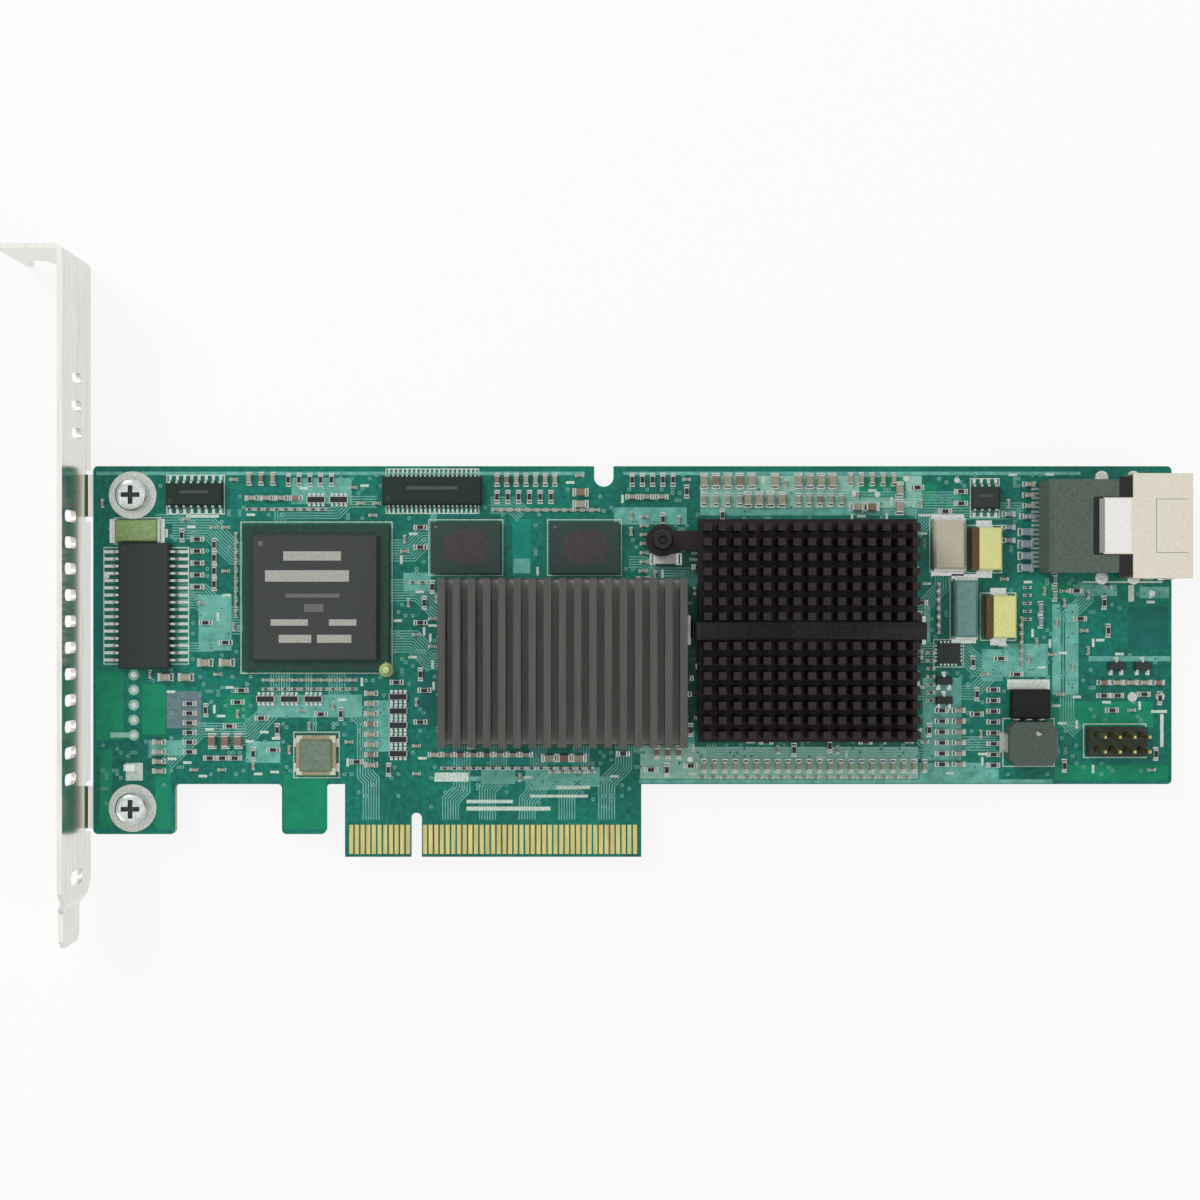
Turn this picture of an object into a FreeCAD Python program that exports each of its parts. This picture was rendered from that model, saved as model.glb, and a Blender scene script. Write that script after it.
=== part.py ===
import FreeCAD, Part

import math
import os
from collections import namedtuple

# A raid controller card, lying with its components up. X runs along the board from
# the bracket to the far end, Y runs up the card from the slot, and Z points out of
# the component side. The origin is the middle of the key notch, at the lower edge of
# the contact fingers and half way through the board. Lengths are in millimetres.

V = FreeCAD.Vector
SPARE = 1.0        # how far a cutting shape reaches past the face that it cuts

# Circuit board
BOARD_THICK = 1.57
KEY_WIDTH = 1.9            # notch that the slot's key fits in
KEY_DEPTH = 7.8
BOARD_FOOT = 12.86         # height of the long lower edge above the fingers' edge
TAB_FOOT = 4.05            # height of the lower edge of both short tabs
TAB_WIDTH = 14.45          # tab that carries the lower bracket screw
HOOK_WIDTH = 7.75          # tab that a slot's retainer grips
HOOK_SLOT = 3.35           # gap between that tab and the fingers
BOARD_CORNER = 0.8
FINGER_BEVEL = 0.5         # sloping lead-in of the fingers' lower edge
BEVEL_DEPTH = 0.35
TOP_NOTCH_X = 33.0         # round-ended notch in the upper edge
TOP_NOTCH_WIDTH = 3.4
TOP_NOTCH_DEPTH = 3.6
DRILL_SIDES = 8            # flats that stand for a small drilled hole
ROUND_SIDES = 16           # flats that stand for a small round rod
BRACKET_BAY = 26.55        # from the board's left edge to the processor
UPPER_STRIP = 9.5          # board above the pin heat sink
LOWER_STRIP = 7.74         # board below the pin heat sink
CAPACITOR_BAY = 18.9       # board beside the pin heat sink
PLUG_BAY = 26.6            # last stretch of the board, up to its far end

# Edge contacts
CONTACT_PITCH = 1.0
CONTACT_WIDTH = 0.7
CONTACT_LENGTH = 5.15
CONTACT_THICK = 0.05
CONTACT_LIFT = 0.55        # from the fingers' edge to the contacts
CONTACT_FROM_KEY = 0.55    # from the key notch to the middle of the first contact
FINGER_MARGIN = 1.1        # from the middle of the last contact to the finger's end
SHORT_CONTACTS = 11
LONG_CONTACTS = 38

# Bracket
SHEET = 0.86
BEND = 0.5                 # inside radius of every fold
BRACKET_GAP = 1.55         # from the board's edge to the inner face
BRACKET_WIDTH = 18.42
BRACKET_BEHIND = 2.615     # how far the bracket reaches behind the board's back face
BRACKET_ABOVE = 36.7       # from the board's upper edge to the top of the flange
BRACKET_BELOW = 14.4       # from the fingers' edge to the tip of the tongue
FLANGE_LENGTH = 11.3       # from the inner face to the end of the flange
NOTCH_WIDTH = 4.4          # screw notch in the flange
NOTCH_FROM_END = 3.4
NOTCH_REACH = 6.2          # from the flange's edge to the notch's deepest point
TONGUE_WIDTH = 10.2
TONGUE_LENGTH = 6.0
TAPER_LENGTH = 3.9
JOGGLE = 0.9               # step of the tongue out of the plate
JOGGLE_LENGTH = 1.6
JOGGLE_ABOVE_TIP = 7.2
TONGUE_CORNER = 1.2
EAR_WIDTH = 7.5            # ears that the board is screwed to
EAR_LENGTH = 11.65         # from the board's edge to the end of an ear
EAR_CORNER = 1.5
EAR_RELIEF = 0.8           # slit each side of an ear
VENT_LENGTH = 7.0          # vent slots, which lie across the plate
VENT_WIDTH = 2.0
VENT_COUNT = 11
VENT_ABOVE_LOW = 5.95      # from the lower screw to the middle of the first vent
VENT_BELOW_HIGH = 4.08     # from the last vent to the upper screw
VENT_OFF_MIDDLE = 3.9      # from the plate's middle line, towards the components
WINDOW_LENGTH = 6.0        # oblong indicator windows above the board
WINDOW_WIDTH = 1.8
WINDOW_PITCH = 4.8
WINDOW_COUNT = 3
WINDOW_FROM_BOARD = 5.4
SLOT_LENGTH = 7.6          # oblong slot near the tongue
SLOT_WIDTH = 2.6
SLOT_DROP = 2.9            # below the fingers' edge
END_SIDES = 6              # flats that stand for the round end of a slot

# Bracket screws
SCREW_SHANK = 2.9
SCREW_HOLE = 3.2
SCREW_FROM_EDGE = 6.95
SCREW_FROM_TOP = 5.1
SCREW_FROM_FOOT = 4.58     # from the tab's lower edge
SCREW_REACH = 3.85         # length under the head
HEAD_WIDTH = 5.6
HEAD_HEIGHT = 1.9
HEAD_CROWN = 0.6           # height of the head's sloping shoulder
HEAD_TOP = 3.8             # width of the head's flat top
RECESS_SPAN = 3.2
RECESS_WIDTH = 0.8
RECESS_DEPTH = 1.2
THREAD_HOLE = 3.0
COLLAR_WIDTH = 4.4
COLLAR_DEPTH = 0.95        # plunged collar under an ear

# Processor
PROCESSOR_SIZE = 25.6
PROCESSOR_GAP = 9.1        # from the processor to the finned heat sink
PROCESSOR_ABOVE_FOOT = 20.04
SUBSTRATE_THICK = 0.6
CAP_INSET = 1.8
CAP_THICK = 1.15
CAP_CHAMFER = 0.3
BALL_HEIGHT = 0.5
BALL_WIDTH = 0.55
BALL_PITCH = 2.54
BALL_INSET = 1.37          # from the substrate's edge to the middle of the balls

# Finned heat sink and the chip below it
FIN_SINK_X = 4.3           # from the key notch to the sink's left side
FIN_SINK_FROM_TOP = 19.8
FIN_SINK_LENGTH = 29.1
FIN_COUNT = 17
FIN_PITCH = 2.6
FIN_THICK = 1.25
FIN_HEIGHT = 5.9
FIN_BASE = 1.9
FIN_MARGIN = 0.2
BRIDGE_SIZE = 23.0
BRIDGE_THICK = 1.85
THERMAL_PAD = 0.3
THERMAL_PAD_INSET = 1.5

# Pin heat sink, its clip and the chip below it
SINK_GAP = 1.9             # between both heat sinks
PIN_COUNT = 15
PIN_PITCH = 2.54
PIN_THICK = 1.3
PIN_HEIGHT = 7.0
PIN_BASE = 2.0
PIN_MARGIN_X = 0.6
PIN_MARGIN_Y = 0.95
CONTROLLER_SIZE = 31.0
CONTROLLER_THICK = 2.2
ARM_WIDTH = 3.4
ARM_REACH = 6.3            # from the sink's side to the push pin's middle
ARM_FROM_TOP = 3.7
ARM_THICK = 1.2
ARM_EYE = 5.6
CLIP_WIDTH = 3.0
CLIP_THICK = 0.6
CLIP_BEND = 0.3
CLIP_CLEAR = 0.35          # from the sink's side to a leg of the clip
CLIP_SEAT = 6.0            # stretch that presses on the sink's base
CLIP_RISE = 4.6
CLIP_HOOK = 1.0
HOOK_HEIGHT = 1.1
ANCHOR_WIRE = 0.6
ANCHOR_CLEAR = 0.4
ANCHOR_TAIL = 0.9
ANCHOR_HOLE = 1.1

# Push pin
STEM_WIDTH = 2.2
STEM_CLEAR = 0.2
PUSH_HEAD_WIDTH = 3.7
PUSH_HEAD_THICK = 1.3
PUSH_SPRING = 2.6          # room for the spring between the arm and the head
BARB_WIDTH = 3.3
BARB_LENGTH = 1.45
BARB_TIP = 1.6
BARB_CLEAR = 0.05
BARB_SLIT = 0.5

# Chips with soldered balls
MEMORY_LENGTH = 12.2
MEMORY_WIDTH = 9.0
MEMORY_THICK = 0.8
MEMORY_LIFT = 0.35
MEMORY_X = 2.6             # from the key notch to the first chip
MEMORY_GAP = 8.7
MEMORY_ABOVE_SINK = 0.95

# Connector for the drive cable
PLUG_WIDTH = 18.05         # shell, across the opening
PLUG_HEIGHT = 8.9
PLUG_DEPTH = 10.3
PLUG_OVERHANG = 1.1        # past the board's far end
PLUG_FROM_TOP = 1.8
SHELL_SHEET = 0.3
REAR_LENGTH = 14.2         # black housing behind the shell
REAR_INSET = 1.0
REAR_HEIGHT = 8.6
REAR_CHAMFER = 0.6
NOSE_LENGTH = 4.5
NOSE_WIDTH = 15.6
NOSE_HEIGHT = 5.2
CARD_SLOT_WIDTH = 14.4
CARD_SLOT_HEIGHT = 1.8
LATCH_WIDTH = 9.7
LATCH_LENGTH = 5.1
LATCH_POCKET = 6.6
LATCH_CLEAR = 0.15
PLUG_PITCH = 0.8
PLUG_CONTACTS = 18
PLUG_CONTACT_WIDTH = 0.35
PLUG_CONTACT_THICK = 0.25
TAIL_REACH = 0.9
TAIL_THICK = 0.2
PEG_WIDTH = 1.2
PEG_LENGTH = 0.9           # below the board's back face
PEG_CLEAR = 0.2
PEG_FROM_REAR = 2.0
PEG_SPACING = 5.6

# Pin header
HEADER_COLUMNS = 4
HEADER_ROWS = 2
HEADER_PITCH = 2.54
HEADER_FROM_END = 10.0
HEADER_ABOVE_FOOT = 7.64
HEADER_BASE = 2.5
HEADER_POST = 0.64
HEADER_RISE = 6.0
HEADER_TAIL = 1.0
HEADER_CLEAR = 0.1
HEADER_HOLE = 1.1

# Power parts
INDUCTOR_X = 8.2
INDUCTOR_Y = 7.6
INDUCTOR_HEIGHT = 4.2
INDUCTOR_CHAMFER = 1.1
INDUCTOR_FROM_END = 25.2
INDUCTOR_ABOVE_FOOT = 7.34
REGULATOR_X = 6.7
REGULATOR_Y = 5.1
REGULATOR_HEIGHT = 2.3
REGULATOR_GAP = 0.5
REGULATOR_TAB = 1.1
TANTALUM_X = 5.3
TANTALUM_Y = 7.4
TANTALUM_HEIGHT = 3.0
TERMINAL_THICK = 0.2
TERMINAL_REACH = 0.25
TANTALUM_CORNERS = {       # from the pin heat sink's side and from the upper edge
    "tantalum_capacitor_upper": (12.45, 14.6),
    "tantalum_capacitor_lower": (14.95, 26.5),
}
FILM_SIZE = V(5.5, 8.6, 2.4)
FILM_FROM_SINK = 6.05
FILM_FROM_TOP = 13.9
CHOKE_SIZE = V(4.0, 10.0, 2.6)
CHOKE_FROM_SINK = 8.9
CHOKE_FROM_TOP = 25.1
BLOCK_CHAMFER = 0.4

# What one chip with bent leads is made to
GullPackage = namedtuple(
    "GullPackage", "name length width thick span pitch count lead_width lead_thick foot")
FLASH = GullPackage("flash_memory", 22.0, 8.8, 2.2, 13.9, 1.27, 16, 0.42, 0.2, 0.9)
LOGIC = GullPackage("logic_chip", 9.9, 3.9, 1.5, 6.0, 1.27, 8, 0.42, 0.2, 0.6)
DRIVER = GullPackage("bus_driver", 17.4, 5.0, 1.3, 7.0, 0.8, 20, 0.3, 0.15, 0.5)
MONITOR = GullPackage("monitor_chip", 4.9, 3.9, 1.5, 6.0, 1.27, 4, 0.42, 0.2, 0.6)
GULL_LIFT = 0.1            # clear space under a chip's body
GULL_CHAMFER = 0.25

# Places of the chips with bent leads
FLASH_FROM_EDGE = 9.35
FLASH_FROM_TOP = 24.6
LOGIC_FROM_EDGE = 18.05
LOGIC_FROM_TOP = 5.0
DRIVER_X = 2.8
DRIVER_FROM_TOP = 4.4
MONITOR_FROM_END = 32.9
MONITOR_FROM_TOP = 5.6

# Small parts that stand by themselves
OSCILLATOR_SIZE = 7.0
OSCILLATOR_BASE = 0.9
OSCILLATOR_LID = 0.4
OSCILLATOR_RIM = 0.7
OSCILLATOR_ABOVE_FOOT = 5.14
FUSE_X = 7.4
FUSE_Y = 3.9
FUSE_HEIGHT = 1.2
FUSE_FROM_EDGE = 7.75
FUSE_FROM_TOP = 11.4
LED_SIZE = V(1.6, 1.2, 0.7)
LED_FROM_EDGE = 6.65
LED_ABOVE_FOOT = 2.9
BUFFER_SIZE = V(4.0, 3.6, 0.9)    # leadless clock buffer
BUFFER_FROM_SINK = 6.2
BUFFER_FROM_TOP = 32.96

# Worked out from the sizes above
FACE = BOARD_THICK / 2
BACK = -FACE
FIN_SINK_WIDTH = (FIN_COUNT - 1) * FIN_PITCH + FIN_THICK + 2 * FIN_MARGIN
PIN_SINK_X = FIN_SINK_X + FIN_SINK_WIDTH + SINK_GAP
PIN_SINK_WIDTH = (PIN_COUNT - 1) * PIN_PITCH + PIN_THICK + 2 * PIN_MARGIN_X
PIN_SINK_LENGTH = (PIN_COUNT - 1) * PIN_PITCH + PIN_THICK + 2 * PIN_MARGIN_Y
PIN_SINK_FOOT = BOARD_FOOT + LOWER_STRIP
PIN_SINK_TOP = PIN_SINK_FOOT + PIN_SINK_LENGTH
PIN_SINK_END = PIN_SINK_X + PIN_SINK_WIDTH
BOARD_TOP = PIN_SINK_TOP + UPPER_STRIP
FIN_SINK_TOP = BOARD_TOP - FIN_SINK_FROM_TOP
FIN_SINK_FOOT = FIN_SINK_TOP - FIN_SINK_LENGTH
BOARD_END = PIN_SINK_END + CAPACITOR_BAY + PLUG_BAY
PROCESSOR_END = FIN_SINK_X - PROCESSOR_GAP
PROCESSOR_X = PROCESSOR_END - PROCESSOR_SIZE / 2
PROCESSOR_Y = BOARD_FOOT + PROCESSOR_ABOVE_FOOT + PROCESSOR_SIZE / 2
BOARD_EDGE = PROCESSOR_END - PROCESSOR_SIZE - BRACKET_BAY
PLATE_IN = BOARD_EDGE - BRACKET_GAP
PLATE_OUT = PLATE_IN - SHEET
BRACKET_LOW = BACK - BRACKET_BEHIND
BRACKET_MIDDLE = BRACKET_LOW + BRACKET_WIDTH / 2
BRACKET_TOP = BOARD_TOP + BRACKET_ABOVE
SCREW_X = BOARD_EDGE + SCREW_FROM_EDGE
SCREW_HIGH = BOARD_TOP - SCREW_FROM_TOP
SCREW_LOW = TAB_FOOT + SCREW_FROM_FOOT
FIRST_CONTACT = KEY_WIDTH / 2 + CONTACT_FROM_KEY
FINGERS_START = -(FIRST_CONTACT + (SHORT_CONTACTS - 1) * CONTACT_PITCH + FINGER_MARGIN)
FINGERS_END = FIRST_CONTACT + (LONG_CONTACTS - 1) * CONTACT_PITCH + FINGER_MARGIN
CONTROLLER_X = PIN_SINK_X + PIN_SINK_WIDTH / 2
CONTROLLER_Y = PIN_SINK_FOOT + PIN_SINK_LENGTH / 2
PUSH_X = PIN_SINK_X - ARM_REACH
PUSH_Y = PIN_SINK_TOP - ARM_FROM_TOP
PIN_BASE_LOW = FACE + CONTROLLER_THICK + THERMAL_PAD
PIN_BASE_TOP = PIN_BASE_LOW + PIN_BASE
SHELL_X = BOARD_END + PLUG_OVERHANG - PLUG_DEPTH
SHELL_LOW_Y = BOARD_TOP - PLUG_FROM_TOP - PLUG_WIDTH
PLUG_Y = SHELL_LOW_Y + PLUG_WIDTH / 2
NOSE_MIDDLE = FACE + PLUG_HEIGHT / 2
HEADER_X = BOARD_END - HEADER_FROM_END
HEADER_Y = BOARD_FOOT + HEADER_ABOVE_FOOT
INDUCTOR_AT = BOARD_END - INDUCTOR_FROM_END
INDUCTOR_AT_Y = BOARD_FOOT + INDUCTOR_ABOVE_FOOT
CLIP_LEG = CLIP_CLEAR + CLIP_THICK / 2
HOOK_Z = FACE + HOOK_HEIGHT
ANCHOR_SPAN = CLIP_WIDTH / 2 + ANCHOR_CLEAR + ANCHOR_WIRE / 2
ANCHOR_OUT = CLIP_LEG + CLIP_THICK / 2 + CLIP_BEND + ANCHOR_WIRE / 2
PEG_PLACES = [SHELL_X + PEG_FROM_REAR, SHELL_X + PEG_FROM_REAR + PEG_SPACING]

nodes = {}


def slab(x0, y0, z0, x1, y1, z1):
    """A box between two opposite corners."""
    return Part.makeBox(x1 - x0, y1 - y0, z1 - z0, V(x0, y0, z0))


def block(x, y, z0, size_x, size_y, height):
    """A box whose bottom face is centred on x, y at the height z0."""
    return Part.makeBox(size_x, size_y, height, V(x - size_x / 2, y - size_y / 2, z0))


def rod(x, y, z0, width, height):
    """An upright cylinder of a width, from the height z0."""
    return Part.makeCylinder(width / 2, height, V(x, y, z0))


def prism(points, run):
    """The closed outline through points, pushed along the vector run."""
    return Part.Face(Part.makePolygon(points + points[:1])).extrude(run)


def moulded(x, y, z0, size_x, size_y, height, chamfer):
    """A moulded block with its upper edges chamfered."""
    body = block(x, y, z0, size_x, size_y, height)
    high = z0 + height
    edges = [e for e in body.Edges if min(v.Z for v in e.Vertexes) > high - chamfer / 2]
    return body.makeChamfer(chamfer, edges)


def oblong(y, z, length, width):
    """A cutter along X with round ends, its length along Z."""
    straight = (length - width) / 2
    radius = width / 2
    ring = []
    for end in (1, -1):
        for k in range(END_SIDES + 1):
            turn = math.pi * k / END_SIDES
            ring.append(V(PLATE_OUT - SPARE, y + end * radius * math.cos(turn),
                          z + end * (straight + radius * math.sin(turn))))
    return prism(ring, V(SHEET + 2 * SPARE, 0, 0))


def flats(x, y, z, width, sides):
    """The corners of a level outline of equal flats that stands for a circle."""
    turns = [2 * math.pi * (k + 0.5) / sides for k in range(sides)]
    return [V(x + width / 2 * math.cos(turn), y + width / 2 * math.sin(turn), z) for turn in turns]


def drilled(x, y, width, sides=DRILL_SIDES):
    """A cutter for a small hole through the board."""
    return prism(flats(x, y, BACK - SPARE, width, sides), V(0, 0, BOARD_THICK + 2 * SPARE))


def post(x, y, z0, width, height):
    """An upright rod of flats, from the height z0."""
    return prism(flats(x, y, z0, width, ROUND_SIDES), V(0, 0, height))


def cone(x, y, z0, width, height, end_width):
    """An upright cone of flats that runs from one width to another."""
    rings = [flats(x, y, z0, width, ROUND_SIDES), flats(x, y, z0 + height, end_width, ROUND_SIDES)]
    return Part.makeLoft([Part.makePolygon(ring + ring[:1]) for ring in rings], True, True)


def folded(corners, thick, bend, run):
    """Sheet of one thickness folded along a middle line, pushed along the vector run."""
    normal = V(run).normalize()
    radius = bend + thick / 2
    sides = []
    for offset in (thick / 2, -thick / 2):
        edges = []
        start = corners[0] + normal.cross(corners[1] - corners[0]).normalize() * offset
        for before, at, after in zip(corners, corners[1:], corners[2:]):
            into = (at - before).normalize()
            out = (after - at).normalize()
            turn = into.getAngle(out)
            setback = radius * math.tan(turn / 2)
            left_in = normal.cross(into)
            left_out = normal.cross(out)
            arc_start = at - into * setback + left_in * offset
            arc_end = at + out * setback + left_out * offset
            side = 1 if normal.dot(into.cross(out)) > 0 else -1
            centre = at - into * setback + left_in * radius * side
            towards = (left_in + left_out).normalize()
            middle = centre + towards * (offset - side * radius)
            edges.append(Part.makeLine(start, arc_start))
            edges.append(Part.Arc(arc_start, middle, arc_end).toShape())
            start = arc_end
        out = (corners[-1] - corners[-2]).normalize()
        end = corners[-1] + normal.cross(out) * offset
        edges.append(Part.makeLine(start, end))
        sides.append((edges, end))
    first_start = sides[0][0][0].Vertexes[0].Point
    second_start = sides[1][0][0].Vertexes[0].Point
    caps = [Part.makeLine(sides[0][1], sides[1][1]), Part.makeLine(second_start, first_start)]
    outline = Part.Wire(Part.__sortEdges__(sides[0][0] + sides[1][0] + caps))
    return Part.Face(outline).extrude(run)


def upright_edges(solid, places):
    """The edges along Z of a solid that stand on one of the x, y places."""
    found = []
    for edge in solid.Edges:
        ends = [v.Point for v in edge.Vertexes]
        if len(ends) == 2 and abs(ends[0].z - ends[1].z) > BOARD_THICK / 2:
            middle = (ends[0] + ends[1]) * 0.5
            for x, y in places:
                if math.hypot(middle.x - x, middle.y - y) < BOARD_CORNER / 4:
                    found.append(edge)
    return found


def board():
    """The circuit board with its tabs, fingers, notches and holes."""
    tab_end = BOARD_EDGE + TAB_WIDTH
    hook_end = FINGERS_START - HOOK_SLOT
    hook_start = hook_end - HOOK_WIDTH
    outline = [(BOARD_EDGE, TAB_FOOT), (tab_end, TAB_FOOT), (tab_end, BOARD_FOOT),
               (hook_start, BOARD_FOOT), (hook_start, TAB_FOOT), (hook_end, TAB_FOOT),
               (hook_end, BOARD_FOOT), (FINGERS_START, BOARD_FOOT), (FINGERS_START, 0),
               (FINGERS_END, 0), (FINGERS_END, BOARD_FOOT), (BOARD_END, BOARD_FOOT),
               (BOARD_END, BOARD_TOP), (BOARD_EDGE, BOARD_TOP)]
    body = prism([V(x, y, BACK) for x, y in outline], V(0, 0, BOARD_THICK))
    rounded = [outline[i] for i in (1, 2, 3, 4, 5, 6, 11, 12, 13)] + [outline[0]]
    body = body.makeFillet(BOARD_CORNER, upright_edges(body, rounded))
    for side in (FACE, BACK):
        inward = -math.copysign(BEVEL_DEPTH, side)
        wedge = [V(FINGERS_START - SPARE, 0, side), V(FINGERS_START - SPARE, 0, side + inward),
                 V(FINGERS_START - SPARE, FINGER_BEVEL, side)]
        body = body.cut(prism(wedge, V(FINGERS_END - FINGERS_START + 2 * SPARE, 0, 0)))
    key_straight = KEY_DEPTH - KEY_WIDTH / 2
    cutters = [slab(-KEY_WIDTH / 2, -SPARE, BACK - SPARE, KEY_WIDTH / 2, key_straight, FACE + SPARE),
               rod(0, key_straight, BACK - SPARE, KEY_WIDTH, BOARD_THICK + 2 * SPARE)]
    notch_low = BOARD_TOP - TOP_NOTCH_DEPTH + TOP_NOTCH_WIDTH / 2
    cutters.append(slab(TOP_NOTCH_X - TOP_NOTCH_WIDTH / 2, notch_low, BACK - SPARE,
                        TOP_NOTCH_X + TOP_NOTCH_WIDTH / 2, BOARD_TOP + SPARE, FACE + SPARE))
    holes = [(TOP_NOTCH_X, notch_low, TOP_NOTCH_WIDTH),
             (SCREW_X, SCREW_HIGH, SCREW_HOLE), (SCREW_X, SCREW_LOW, SCREW_HOLE)]
    cutters.append(drilled(PUSH_X, PUSH_Y, STEM_WIDTH + 2 * STEM_CLEAR, ROUND_SIDES))
    for x in anchor_places():
        for side in (-ANCHOR_SPAN, ANCHOR_SPAN):
            cutters.append(drilled(x, CONTROLLER_Y + side, ANCHOR_HOLE))
    for x, y in header_places():
        cutters.append(drilled(x, y, HEADER_HOLE))
    for x, y, width in holes:
        cutters.append(rod(x, y, BACK - SPARE, width, BOARD_THICK + 2 * SPARE))
    for x in PEG_PLACES:
        for y in (SHELL_LOW_Y + SHELL_SHEET / 2, SHELL_LOW_Y + PLUG_WIDTH - SHELL_SHEET / 2):
            cutters.append(block(x, y, BACK - SPARE, PEG_WIDTH + 2 * PEG_CLEAR,
                                 SHELL_SHEET + 2 * PEG_CLEAR, BOARD_THICK + 2 * SPARE))
    nodes["circuit_board"] = body.cut(cutters)


def edge_contacts():
    """Gold contacts on both faces of the fingers."""
    places = [-FIRST_CONTACT - i * CONTACT_PITCH for i in range(SHORT_CONTACTS)]
    places += [FIRST_CONTACT + i * CONTACT_PITCH for i in range(LONG_CONTACTS)]
    for name, z0 in (("edge_contacts_front", FACE), ("edge_contacts_back", BACK - CONTACT_THICK)):
        strips = [slab(x - CONTACT_WIDTH / 2, CONTACT_LIFT, z0, x + CONTACT_WIDTH / 2,
                       CONTACT_LIFT + CONTACT_LENGTH, z0 + CONTACT_THICK) for x in places]
        nodes[name] = Part.makeCompound(strips)


def vents():
    """Cutters for the slots across the plate, evenly spaced between the screws."""
    low = SCREW_LOW + VENT_ABOVE_LOW
    pitch = (SCREW_HIGH - VENT_BELOW_HIGH - low) / (VENT_COUNT - 1)
    middle = BRACKET_MIDDLE + VENT_OFF_MIDDLE
    return [oblong(low + i * pitch, middle, VENT_LENGTH, VENT_WIDTH) for i in range(VENT_COUNT)]


def bracket():
    """The folded bracket: flange, vented plate, ears and joggled tongue."""
    plate_x = (PLATE_IN + PLATE_OUT) / 2
    flange_y = BRACKET_TOP - SHEET / 2
    joggle_y = -BRACKET_BELOW + JOGGLE_ABOVE_TIP
    corners = [V(plate_x - JOGGLE, -BRACKET_BELOW, BRACKET_LOW),
               V(plate_x - JOGGLE, joggle_y - JOGGLE_LENGTH / 2, BRACKET_LOW),
               V(plate_x, joggle_y + JOGGLE_LENGTH / 2, BRACKET_LOW),
               V(plate_x, flange_y, BRACKET_LOW),
               V(PLATE_IN - FLANGE_LENGTH, flange_y, BRACKET_LOW)]
    body = folded(corners, SHEET, BEND, V(0, 0, BRACKET_WIDTH))
    near = BRACKET_LOW + BRACKET_WIDTH
    tongue_low = BRACKET_MIDDLE - TONGUE_WIDTH / 2
    tongue_near = BRACKET_MIDDLE + TONGUE_WIDTH / 2
    tongue_top = -BRACKET_BELOW + TONGUE_LENGTH
    cut_x = PLATE_OUT - JOGGLE - SPARE
    run = V(SHEET + JOGGLE + 2 * SPARE, 0, 0)
    deep = -BRACKET_BELOW - SPARE
    cutters = []
    for inner, outer in ((tongue_low, BRACKET_LOW), (tongue_near, near)):
        past = outer + math.copysign(SPARE, outer - inner)
        corner = inner + math.copysign(TONGUE_CORNER, BRACKET_MIDDLE - inner)
        side = [V(cut_x, tongue_top + TAPER_LENGTH, outer), V(cut_x, tongue_top + TAPER_LENGTH, past),
                V(cut_x, deep, past), V(cut_x, deep, corner), V(cut_x, -BRACKET_BELOW, corner),
                V(cut_x, -BRACKET_BELOW + TONGUE_CORNER, inner), V(cut_x, tongue_top, inner)]
        cutters.append(prism(side, run))
    notch_x = PLATE_IN - FLANGE_LENGTH + NOTCH_FROM_END
    notch_end = BRACKET_LOW + NOTCH_REACH - NOTCH_WIDTH / 2
    low_y = BRACKET_TOP - SHEET - SPARE
    cutters.append(slab(notch_x - NOTCH_WIDTH / 2, low_y, BRACKET_LOW - SPARE,
                        notch_x + NOTCH_WIDTH / 2, BRACKET_TOP + SPARE, notch_end))
    cutters.append(Part.makeCylinder(NOTCH_WIDTH / 2, SHEET + 2 * SPARE,
                                     V(notch_x, low_y, notch_end), V(0, 1, 0)))
    for i in range(WINDOW_COUNT):
        cutters.append(oblong(BOARD_TOP + WINDOW_FROM_BOARD + i * WINDOW_PITCH,
                              BRACKET_MIDDLE, WINDOW_LENGTH, WINDOW_WIDTH))
    cutters.append(oblong(-SLOT_DROP, BRACKET_MIDDLE, SLOT_LENGTH, SLOT_WIDTH))
    cutters += vents()
    ear_z = BACK - SHEET / 2
    fold_top = ear_z + BEND + SHEET / 2
    for y in (SCREW_LOW, SCREW_HIGH):
        half = EAR_WIDTH / 2 + EAR_RELIEF
        cutters.append(slab(PLATE_OUT - SPARE, y - half, BRACKET_LOW - SPARE,
                            PLATE_IN + SPARE, y + half, fold_top))
    body = body.cut(cutters)
    for y in (SCREW_LOW, SCREW_HIGH):
        body = body.fuse(ear(y, plate_x, ear_z, fold_top))
    for y in (SCREW_LOW, SCREW_HIGH):
        depth = SHEET + COLLAR_DEPTH + 2 * SPARE
        body = body.cut(rod(SCREW_X, y, BACK + SPARE - depth, THREAD_HOLE, depth))
    nodes["bracket"] = body.removeSplitter()


def ear(y, plate_x, ear_z, fold_top):
    """One ear, folded from the plate's rear edge to lie under the board."""
    end = BOARD_EDGE + EAR_LENGTH
    low = y - EAR_WIDTH / 2
    strip = folded([V(plate_x, low, fold_top + SHEET), V(plate_x, low, ear_z), V(end, low, ear_z)],
                   SHEET, BEND, V(0, EAR_WIDTH, 0))
    tips = [e for e in strip.Edges
            if len(e.Vertexes) == 2 and all(abs(v.X - end) < SHEET / 4 for v in e.Vertexes)
            and abs(e.Vertexes[0].Y - e.Vertexes[1].Y) < SHEET / 4]
    strip = strip.makeFillet(EAR_CORNER, tips)
    collar = post(SCREW_X, y, BACK - SHEET - COLLAR_DEPTH, COLLAR_WIDTH, COLLAR_DEPTH + SHEET / 2)
    return strip.fuse(collar)


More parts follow.
